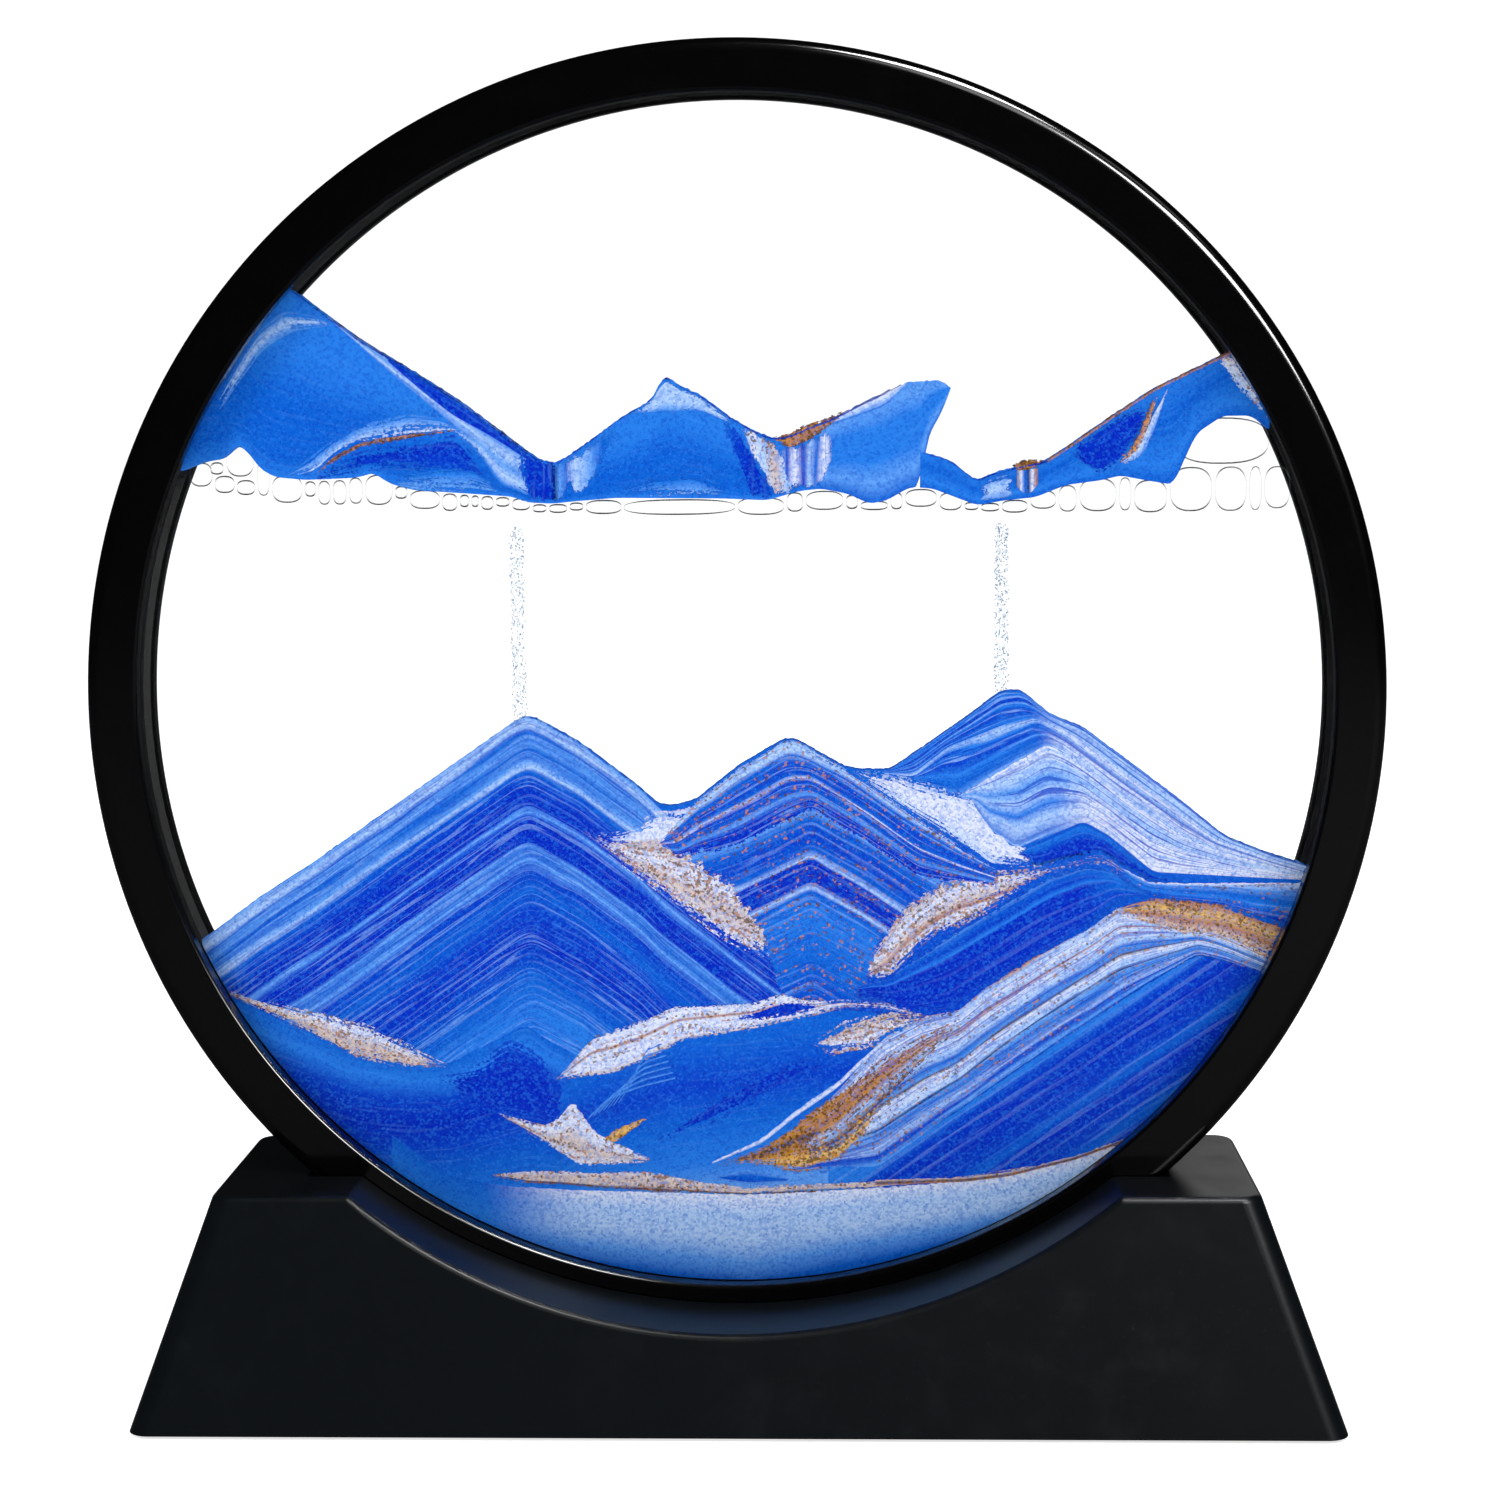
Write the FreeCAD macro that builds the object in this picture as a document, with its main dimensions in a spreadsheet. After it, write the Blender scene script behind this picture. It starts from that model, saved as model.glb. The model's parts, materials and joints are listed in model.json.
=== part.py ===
import FreeCAD, Part
import math
import os
import Sketcher
from types import SimpleNamespace

# Moving-sand hourglass: a round cell of glass, liquid and sand in a ring frame, which stands in a
# cradle. Millimetres, +Z up, origin on the table under the middle of the base, front towards -Y.

SIZES = [
    # ring frame
    ("ringRadius", 87.5, "outer radius of the ring frame"),
    ("ringWall", 2.6, "thickness of the rim, measured radially"),
    ("bezelWidth", 7.0, "how far each bezel reaches in from the outer radius"),
    ("bezelWall", 2.2, "thickness of each bezel along the disc's axis"),
    ("ringRound", 1.8, "rounding of the rim's outer edges"),
    ("bezelRound", 0.5, "rounding of the bezel's inner edge"),
    ("tongueWall", 1.2, "thickness of the rear half's tongue"),
    ("tongueLength", 1.5, "how far the tongue laps into the front half"),
    ("lapClearance", 0.1, "play round the tongue"),
    # glass cell
    ("paneThickness", 2.0, "thickness of each glass pane"),
    ("paneClearance", 0.3, "gap from a pane's edge to the rim"),
    ("cellGap", 3.0, "distance between the two panes"),
    ("gasketThickness", 0.3, "thickness of each flat gasket"),
    ("gasketSetback", 0.5, "gasket's inner edge behind the bezel's edge"),
    ("spacerWall", 2.0, "radial thickness of the spacer ring"),
    ("fillClearance", 0.15, "radial gap from sand and liquid to the spacer"),
    ("sealantWall", 1.0, "radial thickness of the sealant bead"),
    ("sealantSetback", 0.2, "sealant's outer edge inside the panes' edge"),
    # filling plug
    ("plugRadius", 1.05, "radius of the plug's stem"),
    ("plugHeadRadius", 3.0, "radius of the plug's head"),
    ("plugHead", 0.9, "thickness of the plug's head"),
    ("plugSunk", 0.2, "head's top below the rim's surface"),
    ("plugClearance", 0.05, "radial play of the stem in its port"),
    ("plugHeadClearance", 0.1, "radial play of the head in its recess"),
    # falling sand
    ("threadWidth", 1.8, "width of each thread of falling sand"),
    ("threadDepth", 1.2, "front-to-back size of each thread"),
    # base
    ("ringStand", 9.0, "height of the ring's lowest point above the table"),
    ("cradleNest", 4.7, "how deep the ring sits below the cradle's surface"),
    ("grooveClearance", 0.3, "gap under the ring in its groove"),
    ("grooveSide", 0.4, "gap at each face of the ring in its groove"),
    ("baseLength", 162.0, "base along X at the bottom"),
    ("baseDepth", 46.0, "base along Y at the bottom"),
    ("topLength", 140.0, "base along X at the top"),
    ("topDepth", 34.6, "base along Y at the top"),
    ("baseHeight", 31.5, "top of the base above the table"),
    ("cornerRound", 3.0, "rounding of the base's four upright corners"),
    ("edgeRound", 0.9, "rounding of the base's top and cradle edges"),
    ("shellWall", 2.4, "side walls of the base shell"),
    ("topWall", 2.2, "top and cradle walls of the base shell"),
    ("coverThickness", 1.5, "thickness of the bottom cover"),
    ("coverRim", 1.6, "width of the shell's lip outside the cover"),
    ("coverClearance", 0.2, "gap round the cover"),
    ("padRadius", 5.0, "radius of each foot pad"),
    ("padThickness", 1.1, "thickness of each foot pad"),
    ("padStand", 0.5, "how far each pad stands out, which lifts the shell off the table"),
    ("padInset", 10.0, "from the base's bottom edges to each pad's centre"),
    ("padClearance", 0.2, "radial gap round a pad in its recess"),
    ("bossRadius", 3.0, "radius of each screw boss"),
    ("bossInset", 4.6, "from the top face's long edge to each boss's axis"),
    ("bossFromEnd", 11.0, "from the top face's end to each boss's axis"),
    ("screwRadius", 1.2, "radius of each screw's shank"),
    ("screwHeadRadius", 2.3, "radius of each countersunk head"),
    ("screwHead", 1.1, "height of each countersunk head"),
    ("screwLength", 8.0, "each screw's whole length"),
    ("screwClearance", 0.08, "radial play round each screw"),
    ("crossLength", 2.4, "length of each arm of the cross recess"),
    ("crossWidth", 0.5, "width of each arm of the cross recess"),
    ("crossDepth", 0.6, "depth of the cross recess"),
]

# Sand outlines, (x, z) from the disc's centre in cell radii. They run past the cell, which trims them.
FAR = 1.6
OUTSIDE = [(FAR, -FAR), (-FAR, -FAR)]
DUNE_SKYLINE = [
    (-FAR, -0.91), (-0.34, -0.05), (-0.12, -0.19), (0.10, -0.09), (0.24, -0.14),
    (0.46, 0.0), (0.73, -0.18), (0.83, -0.26), (0.93, -0.30), (FAR, -0.5),
]
SLOPE_RIDGE = [
    (-FAR, -0.2), (-0.86, -0.50), (-0.50, -0.61), (-0.27, -0.55), (0.15, -0.53),
    (0.61, -0.31), (FAR, -0.37),
]
GOLD_WEDGE = [(-0.05, -0.83), (0.05, -0.74), (0.23, -0.66), (0.17, -0.75), (0.10, -0.83)]
BED_TOP = [
    (-FAR, -0.61), (-0.54, -0.81), (-0.39, -0.83), (0.0, -0.84), (0.37, -0.82),
    (0.61, -0.78), (FAR, -0.25),
]
HANGING_SAND = [
    (-FAR, 1.24), (-0.33, 0.37), (-0.23, 0.44), (-0.12, 0.51), (0.0, 0.43), (0.06, 0.40),
    (0.27, 0.49), (0.34, 0.50), (0.31, 0.39), (0.40, 0.34), (0.47, 0.36), (0.60, 0.43),
    (0.81, 0.55), (FAR, 0.98), (FAR, 0.45), (0.81, 0.45), (0.75, 0.41), (0.72, 0.32),
    (-0.74, 0.31), (-0.79, 0.35), (-0.84, 0.39), (-FAR, 0.36),
]
THREADS = [(-0.36, -0.05), (0.45, 0.0)]  # x and lower end, in cell radii
ROW_HEIGHT = 0.312  # the row of bubbles under the hanging sand, in cell radii
ROW_ENDS = (-0.84, 0.71)
ROW_GAP = 0.35  # liquid left between two bubbles
MEAN_BUBBLE, BUBBLE_SPREAD = 1.75, 0.45  # a bubble's radius and how much it varies
WALL_BUBBLES = [(0.79, 0.355, 3.4), (0.872, 0.375, 2.9), (-0.87, 0.35, 2.0)]  # x, z, radius in mm

doc = FreeCAD.newDocument("MovingSandHourglass")
sheet = doc.addObject("Spreadsheet::Sheet", "Sizes")
for row, (alias, number, note) in enumerate(SIZES, start=1):
    sheet.set("A%d" % row, alias)
    sheet.set("B%d" % row, str(number))
    sheet.set("C%d" % row, note)
    sheet.setAlias("B%d" % row, alias)
doc.recompute()

# Each size as the expression that an object is bound to, and the sizes worked out from them.
S = SimpleNamespace(**{alias: "Sizes." + alias for alias, _, _ in SIZES})
centreHeight = f"({S.ringStand} + {S.ringRadius})"
boreRadius = f"({S.ringRadius} - {S.ringWall})"
openingRadius = f"({S.ringRadius} - {S.bezelWidth})"
paneRadius = f"({boreRadius} - {S.paneClearance})"
sealantRadius = f"({paneRadius} - {S.sealantSetback})"
spacerRadius = f"({sealantRadius} - {S.sealantWall})"
cellRadius = f"({spacerRadius} - {S.spacerWall})"
fillRadius = f"({cellRadius} - {S.fillClearance})"
cellHalf = f"({S.cellGap} / 2)"
paneFace = f"({cellHalf} + {S.paneThickness})"
bezelFace = f"({paneFace} + {S.gasketThickness})"
ringHalf = f"({bezelFace} + {S.bezelWall})"
headTop = f"({S.ringRadius} - {S.plugSunk})"
headSeat = f"({headTop} - {S.plugHead})"
portRadius = f"({S.plugRadius} + {S.plugClearance})"
cradleRadius = f"({S.ringRadius} - {S.cradleNest})"
grooveRadius = f"({S.ringRadius} + {S.grooveClearance})"
grooveHalf = f"({ringHalf} + {S.grooveSide})"
coverTop = f"({S.padStand} + {S.coverThickness})"
coreTop = f"({S.baseHeight} - {S.topWall})"
lipHalfX = f"({S.baseLength} / 2 - {S.coverRim})"
lipHalfY = f"({S.baseDepth} / 2 - {S.coverRim})"
lipRound = f"({S.cornerRound} - {S.coverRim})"
screwBore = f"({S.screwRadius} + {S.screwClearance})"
screwSink = f"({S.screwHeadRadius} + {S.screwClearance})"


def fourCorners(x, y):
    """The four (x, y) places of a thing that repeats in the base's corners."""
    return [(f"{i} * {x}", f"{j} * {y}") for i in (-1, 1) for j in (-1, 1)]


padPlaces = fourCorners(f"({S.baseLength} / 2 - {S.padInset})", f"({S.baseDepth} / 2 - {S.padInset})")
bossPlaces = fourCorners(f"({S.topLength} / 2 - {S.bossFromEnd})", f"({S.topDepth} / 2 - {S.bossInset})")


def value(expression):
    return float(sheet.evalExpression(expression))


# ---- building helpers


def newBody(name, atCentre=False):
    body = doc.addObject("PartDesign::Body", name)
    body.Label = name
    if atCentre:
        body.setExpression("Placement.Base.z", centreHeight)
    return body


def originPlane(body, role):
    return [feature for feature in body.Origin.OriginFeatures if feature.Role == role][0]


def newSketch(body, name, role, height=None):
    sketch = body.newObject("Sketcher::SketchObject", name)
    sketch.AttachmentSupport = [(originPlane(body, role), "")]
    sketch.MapMode = "FlatFace"
    if height:
        sketch.setExpression("AttachmentOffset.Base.z", height)
    return sketch


def hold(sketch, geometry, end, x, y):
    """Hold one point of a sketch at two expressions, measured from the sketch's origin."""
    for kind, expression in (("DistanceX", x), ("DistanceY", y)):
        index = sketch.addConstraint(
            Sketcher.Constraint(kind, -1, 1, geometry, end, value(expression)))
        sketch.setExpression("Constraints[%d]" % index, expression)


def drawOutline(sketch, corners):
    """A closed outline of straight lines through corners given as pairs of expressions."""
    points = [FreeCAD.Vector(value(x), value(y), 0) for x, y in corners]
    count = len(points)
    for i in range(count):
        sketch.addGeometry(Part.LineSegment(points[i], points[(i + 1) % count]), False)
    for i in range(count):
        sketch.addConstraint(Sketcher.Constraint("Coincident", i, 2, (i + 1) % count, 1))
        hold(sketch, i, 1, *corners[i])


def drawRectangle(sketch, halfX, halfY):
    signs = ((-1, -1), (1, -1), (1, 1), (-1, 1))
    drawOutline(sketch, [(f"{i} * {halfX}", f"{j} * {halfY}") for i, j in signs])


def drawCircle(sketch, x, y, radius):
    centre = FreeCAD.Vector(value(x), value(y), 0)
    index = sketch.addGeometry(Part.Circle(centre, FreeCAD.Vector(0, 0, 1), value(radius)), False)
    hold(sketch, index, 3, x, y)
    constraint = sketch.addConstraint(Sketcher.Constraint("Radius", index, value(radius)))
    sketch.setExpression("Constraints[%d]" % constraint, radius)


def turn(body, name, corners, role="XY_Plane"):
    """Revolve an outline of (radius, distance along the axis) about its sketch's upright axis."""
    sketch = newSketch(body, name + "Profile", role)
    drawOutline(sketch, corners)
    turned = body.newObject("PartDesign::Revolution", name)
    turned.Profile = sketch
    turned.ReferenceAxis = (sketch, ["V_Axis"])
    turned.Angle = 360
    doc.recompute()


def pad(body, name, sketch, length, symmetric=False):
    padded = body.newObject("PartDesign::Pad", name)
    padded.Profile = sketch
    padded.SideType = "Symmetric" if symmetric else "One side"
    padded.setExpression("Length", length)
    doc.recompute()


def cut(body, name, sketch, depth=None, symmetric=False, reverse=False):
    """Pocket a sketch to a depth, or right through, and stop if it took nothing away."""
    before = body.Shape.Volume
    pocket = body.newObject("PartDesign::Pocket", name)
    pocket.Profile = sketch
    pocket.SideType = "Symmetric" if symmetric else "One side"
    pocket.Type = "Length" if depth else "ThroughAll"
    if depth:
        pocket.setExpression("Length", depth)
    pocket.Reversed = reverse
    doc.recompute()
    if body.Shape.Volume > before - 1e-3:
        raise RuntimeError(name + " cut nothing")


def roundEdges(body, name, radius, test):
    """Fillet the edges of the body's tip that pass a test."""
    tip = body.Tip
    edges = ["Edge%d" % i for i, edge in enumerate(tip.Shape.Edges, start=1) if test(edge)]
    fillet = body.newObject("PartDesign::Fillet", name)
    fillet.Base = (tip, edges)
    fillet.setExpression("Radius", radius)
    doc.recompute()


def isUpright(edge):
    """True for an edge that climbs from a piece's bottom to its top."""
    return edge.BoundBox.ZLength > 1e-3


def isCircle(edge, radius, level):
    """True for a circle of a radius about the disc's axis, at a distance along that axis."""
    curve = edge.Curve
    return (isinstance(curve, Part.Circle) and abs(curve.Radius - radius) < 1e-4
            and abs(curve.Center.y - level) < 1e-4)


def combine(kind, name, *pieces):
    """A Part boolean: Cut and Common take two pieces, MultiFuse and Compound any number."""
    result = doc.addObject("Part::" + kind, name)
    if kind in ("Cut", "Common"):
        result.Base, result.Tool = pieces
    elif kind == "Compound":
        result.Links = list(pieces)
    else:
        result.Shapes = list(pieces)
    result.Label = name
    doc.recompute()
    return result


def primitive(kind, name, corner, **sizes):
    """A Part primitive with its sizes and its place bound to expressions."""
    result = doc.addObject("Part::" + kind, name)
    for prop, expression in sizes.items():
        result.setExpression(prop, expression)
    for axis, expression in zip("xyz", corner):
        result.setExpression("Placement.Base." + axis, expression)
    return result


# ---- ring frame


def portHole(body, name):
    """The filling port: a round hole up through the rim at the top of the disc."""
    sketch = newSketch(body, name + "PortSketch", "XY_Plane")
    drawCircle(sketch, "0", "0", portRadius)
    cut(body, name + "Port", sketch, reverse=True)


def frameHalf(name, side, joint):
    """One half of the frame, front (-1) or rear (+1): bezel, rim and its half of the lap joint."""
    body = newBody(name, atCentre=True)
    face, seat = f"{side} * {ringHalf}", f"{side} * {bezelFace}"
    turn(body, name + "Turned",
         [(openingRadius, face), (S.ringRadius, face), *joint, (boreRadius, seat),
          (openingRadius, seat)])
    for part, radius, size in (("Outer", S.ringRadius, S.ringRound),
                               ("Bezel", openingRadius, S.bezelRound)):
        roundEdges(body, name + part + "Round", size,
                   lambda edge, radius=radius: isCircle(edge, value(radius), value(face)))
    portHole(body, name)
    recess = newSketch(body, name + "RecessSketch", "XY_Plane", headSeat)
    drawCircle(recess, "0", "0", f"({S.plugHeadRadius} + {S.plugHeadClearance})")
    cut(body, name + "Recess", recess, reverse=True)
    return body


def frontFrame():
    rebate = f"({boreRadius} + {S.tongueWall} + {S.lapClearance})"
    floor = f"-1 * ({S.tongueLength} + {S.lapClearance})"
    return frameHalf("front_frame_ring", -1,
                     [(S.ringRadius, "0"), (rebate, "0"), (rebate, floor), (boreRadius, floor)])


def rearFrame():
    tongue = f"({boreRadius} + {S.tongueWall})"
    tip = f"-1 * {S.tongueLength}"
    return frameHalf("rear_frame_ring", 1,
                     [(S.ringRadius, "0"), (tongue, "0"), (tongue, tip), (boreRadius, tip)])


# ---- glass cell


def washer(name, inner, outer, low, high):
    """A flat ring, or a disc where inner is 0, between two distances along the disc's axis."""
    body = newBody(name, atCentre=True)
    turn(body, name + "Turned", [(inner, low), (outer, low), (outer, high), (inner, high)])
    return body


def glassAndGaskets():
    pieces = []
    gasketBore = f"({openingRadius} + {S.gasketSetback})"
    for where, side in (("front", -1), ("rear", 1)):
        inside, outside, bezel = [f"{side} * {level}" for level in (cellHalf, paneFace, bezelFace)]
        pieces.append(washer(where + "_glass_pane", "0", paneRadius, inside, outside))
        pieces.append(washer(where + "_gasket", gasketBore, paneRadius, outside, bezel))
    return pieces


def spacerAndSealant():
    pieces = []
    for name, inner, outer in (("spacer_ring", cellRadius, spacerRadius),
                               ("edge_sealant", spacerRadius, sealantRadius)):
        pieces.append(washer(name, inner, outer, "-1 * " + cellHalf, cellHalf))
        portHole(pieces[-1], name)
    return pieces


def fillPlug():
    """A stopper with a flat head: its stem passes the rim, the sealant and the spacer."""
    body = newBody("fill_plug", atCentre=True)
    turn(body, "PlugTurned",
         [("0", cellRadius), (S.plugRadius, cellRadius), (S.plugRadius, headSeat),
          (S.plugHeadRadius, headSeat), (S.plugHeadRadius, headTop), ("0", headTop)],
         role="XZ_Plane")
    return body


# ---- sand, air and liquid


def shares(points):
    return [(f"{x} * {cellRadius}", f"{z} * {cellRadius}") for x, z in points]


def slab(name, outline):
    """A sand outline made as thick as the cell."""
    body = newBody(name, atCentre=True)
    sketch = newSketch(body, name + "Outline", "XZ_Plane")
    drawOutline(sketch, shares(outline))
    pad(body, name + "Pad", sketch, S.cellGap, symmetric=True)
    return body


def bubble(name, x, z, radius):
    """An air bubble squeezed flat between the panes, at a place given in cell radii."""
    body = newBody(name)
    turn(body, name + "Turned",
         [("0", "-1 * " + cellHalf), (str(radius), "-1 * " + cellHalf), (str(radius), cellHalf),
          ("0", cellHalf)])
    body.setExpression("Placement.Base.x", f"{x} * {cellRadius}")
    body.setExpression("Placement.Base.z", f"{centreHeight} + {z} * {cellRadius}")
    return body


def allBubbles():
    """The row under the hanging sand, whose bubbles vary in size, and the larger ones at the walls."""
    bubbles = []
    cellSize = value(cellRadius)
    x, end = (share * cellSize for share in ROW_ENDS)
    while x < end:
        radius = round(MEAN_BUBBLE + BUBBLE_SPREAD * math.sin(2.4 * len(bubbles)), 2)
        share = round((x + radius) / cellSize, 4)
        bubbles.append(bubble("bubble%d" % len(bubbles), share, ROW_HEIGHT, radius))
        x += 2 * radius + ROW_GAP
    for x, z, radius in WALL_BUBBLES:
        bubbles.append(bubble("bubble%d" % len(bubbles), x, z, radius))
    return combine("MultiFuse", "air", *bubbles)


def fallingThreads():
    """Two thin threads from the row of bubbles down to the dunes' peaks."""
    threads = []
    sunk = 0.03  # each starts a little inside the dune, which then trims it
    for number, (x, low) in enumerate(THREADS):
        threads.append(primitive(
            "Box", "thread%d" % number,
            (f"{x} * {cellRadius} - {S.threadWidth} / 2", f"-1 * {S.threadDepth} / 2",
             f"{centreHeight} + {low - sunk} * {cellRadius}"),
            Length=S.threadWidth, Width=S.threadDepth,
            Height=f"{ROW_HEIGHT - low + sunk} * {cellRadius}"))
    return combine("MultiFuse", "threadPair", *threads)


def sandAndLiquid():
    cell = washer("cell", "0", fillRadius, "-1 * " + cellHalf, cellHalf)
    dunes = slab("duneSlab", DUNE_SKYLINE + OUTSIDE)
    slope = slab("slopeSlab", SLOPE_RIDGE + OUTSIDE)
    gold = slab("goldSlab", GOLD_WEDGE)
    bed = slab("bedSlab", BED_TOP + OUTSIDE)
    hanging = slab("hangingSlab", HANGING_SAND)
    air = allBubbles()
    threads = fallingThreads()

    below = combine("Common", "duneCell", dunes, cell)
    pieces = [combine("Common", "white_sand_bed", below, bed)]
    overBed = combine("Cut", "overBed", below, bed)
    pieces.append(combine("Common", "gold_sand", overBed, gold))
    overGold = combine("Cut", "overGold", overBed, gold)
    pieces.append(combine("Common", "slope_sand", overGold, slope))
    pieces.append(combine("Cut", "dune_sand", overGold, slope))

    above = combine("Common", "hangingCell", hanging, cell)
    pieces.append(combine("Cut", "hanging_sand", above, air))
    inLiquid = combine("Cut", "threadsOverDunes", threads, dunes)
    pieces.append(combine("Cut", "falling_sand", inLiquid, air))
    others = combine("MultiFuse", "notLiquid", dunes, hanging, air, threads)
    pieces.append(combine("Cut", "liquid_fill", cell, others))
    return pieces


# ---- base


def sloped(bottom, top, height):
    """Half of the base's outer size at a height, between its bottom and top sizes."""
    share = f"(({height} - {S.padStand}) / ({S.baseHeight} - {S.padStand}))"
    return f"(({bottom} - ({bottom} - {top}) * {share}) / 2)"


def taperedBlock(name, low, high, inset):
    """The base's tapered block between two heights, smaller by an inset on every side."""
    body = newBody(name)
    wedge = body.newObject("PartDesign::AdditiveWedge", name + "Wedge")
    wedge.AttachmentSupport = [(originPlane(body, "XZ_Plane"), "")]  # its own Y is then the height
    wedge.MapMode = "FlatFace"
    for limit, level, mark in (("Ymin", low, ""), ("Ymax", high, "2")):
        halfX = f"({sloped(S.baseLength, S.topLength, level)} - {inset})"
        halfY = f"({sloped(S.baseDepth, S.topDepth, level)} - {inset})"
        wedge.setExpression(limit, level)
        wedge.setExpression(f"X{mark}min", "-1 * " + halfX)
        wedge.setExpression(f"X{mark}max", halfX)
        wedge.setExpression(f"Z{mark}min", "-1 * " + halfY)
        wedge.setExpression(f"Z{mark}max", halfY)
    doc.recompute()
    return body


def trough(body, name, radius, width=None):
    """Cut a round trough along Y about the disc's axis, right through or to a width."""
    sketch = newSketch(body, name + "Sketch", "XZ_Plane")
    drawCircle(sketch, "0", centreHeight, radius)
    cut(body, name, sketch, depth=width, symmetric=True)


def isTopEdge(edge):
    """True for the edges of the cradle and the top face: not the bottom's or an upright corner's."""
    box = edge.BoundBox
    low, high = value(S.padStand), value(S.baseHeight)
    atBottom = box.ZMax < low + 1e-3
    corner = box.ZLength > 0.99 * (high - low)
    return not (atBottom or corner)


def baseShell():
    """The outer block with its cradle and groove, less the hollow core, cover seat and pilot holes."""
    block = taperedBlock("block", S.padStand, S.baseHeight, "0")
    roundEdges(block, "BlockCorners", S.cornerRound, isUpright)
    trough(block, "Cradle", cradleRadius)
    roundEdges(block, "TopEdges", S.edgeRound, isTopEdge)
    trough(block, "Groove", grooveRadius, f"2 * {grooveHalf}")

    core = taperedBlock("core", coverTop, coreTop, S.shellWall)
    trough(core, "CoreCradle", f"({cradleRadius} + {S.topWall})")
    trough(core, "CoreGroove", f"({grooveRadius} + {S.topWall})",
           f"2 * ({grooveHalf} + {S.shellWall})")

    bosses = [primitive("Cylinder", "boss%d" % i, (x, y, "0"), Radius=S.bossRadius,
                        Height=S.baseHeight) for i, (x, y) in enumerate(bossPlaces)]
    hollow = combine("Cut", "hollow", core, combine("MultiFuse", "bosses", *bosses))

    seat = newBody("seat")
    seatSketch = newSketch(seat, "SeatSketch", "XY_Plane")
    drawRectangle(seatSketch, lipHalfX, lipHalfY)
    pad(seat, "SeatPad", seatSketch, coverTop)
    roundEdges(seat, "SeatCorners", lipRound, isUpright)

    pilots = [primitive("Cylinder", "pilot%d" % i, (x, y, "0"), Radius=screwBore,
                        Height=f"{S.padStand} + {S.screwLength} + {S.coverThickness}")
              for i, (x, y) in enumerate(bossPlaces)]
    return combine("Cut", "base_shell", block,
                   combine("MultiFuse", "shellCuts", hollow, seat, *pilots))


def baseCover():
    """The bottom plate, with pad recesses and countersunk holes in its underside."""
    plate = newBody("plate")
    outline = newSketch(plate, "PlateSketch", "XY_Plane", S.padStand)
    drawRectangle(outline, f"({lipHalfX} - {S.coverClearance})", f"({lipHalfY} - {S.coverClearance})")
    pad(plate, "PlatePad", outline, S.coverThickness)
    roundEdges(plate, "PlateCorners", f"({lipRound} - {S.coverClearance})", isUpright)
    holes = newSketch(plate, "HoleSketch", "XY_Plane", S.padStand)
    for x, y in bossPlaces:
        drawCircle(holes, x, y, screwBore)
    cut(plate, "Holes", holes, reverse=True)
    recesses = newSketch(plate, "RecessSketch", "XY_Plane", S.padStand)
    for x, y in padPlaces:
        drawCircle(recesses, x, y, f"({S.padRadius} + {S.padClearance})")
    cut(plate, "Recesses", recesses, depth=f"({S.padThickness} - {S.padStand})", reverse=True)
    sinks = [primitive("Cone", "sink%d" % i, (x, y, S.padStand), Radius1=screwSink,
                       Radius2=screwBore, Height=S.screwHead)
             for i, (x, y) in enumerate(bossPlaces)]
    return combine("Cut", "base_cover", plate, combine("MultiFuse", "sinks", *sinks))


def coverScrews():
    screws = []
    for i, (x, y) in enumerate(bossPlaces):
        head = primitive("Cone", "head%d" % i, (x, y, S.padStand), Radius1=S.screwHeadRadius,
                         Radius2=S.screwRadius, Height=S.screwHead)
        shank = primitive("Cylinder", "shank%d" % i, (x, y, f"{S.padStand} + {S.screwHead} / 2"),
                          Radius=S.screwRadius, Height=f"{S.screwLength} - {S.screwHead} / 2")
        whole = combine("MultiFuse", "screw%d" % i, head, shank)
        arms = []
        for arm, length, width in (("Long", S.crossLength, S.crossWidth),
                                   ("Wide", S.crossWidth, S.crossLength)):
            corner = (f"{x} - {length} / 2", f"{y} - {width} / 2", S.padStand)
            arms.append(primitive("Box", f"cross{arm}{i}", corner, Length=length, Width=width,
                                  Height=S.crossDepth))
        cross = combine("MultiFuse", "cross%d" % i, *arms)
        screws.append(combine("Cut", "cutScrew%d" % i, whole, cross))
    return combine("Compound", "cover_screws", *screws)


def footPads():
    pads = [primitive("Cylinder", "pad%d" % i, (x, y, "0"), Radius=S.padRadius,
                      Height=S.padThickness) for i, (x, y) in enumerate(padPlaces)]
    return combine("Compound", "foot_pads", *pads)


# ---- build, check and write

nodes = [
    frontFrame(), rearFrame(), *glassAndGaskets(), *spacerAndSealant(), fillPlug(),
    *sandAndLiquid(), baseShell(), baseCover(), coverScrews(), footPads(),
]
doc.recompute()
for thing in doc.Objects:
    if "Invalid" in thing.State or "Error" in thing.State:
        raise RuntimeError("%s failed: %s" % (thing.Name, thing.State))
for node in nodes:
    shape = node.Shape
    if shape.isNull() or not shape.isValid() or shape.Volume <= 0:
        raise RuntimeError(node.Label + " has no valid solid")
os.makedirs("parts", exist_ok=True)
for node in nodes:
    node.Shape.exportStep("parts/%s.step" % node.Label)
    print("%-18s %10.2f mm3, %d solid(s)" % (node.Label, node.Shape.Volume, len(node.Shape.Solids)))
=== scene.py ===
import json
import math
import random

import bpy
import numpy as np
from mathutils import Matrix, Vector


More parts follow.
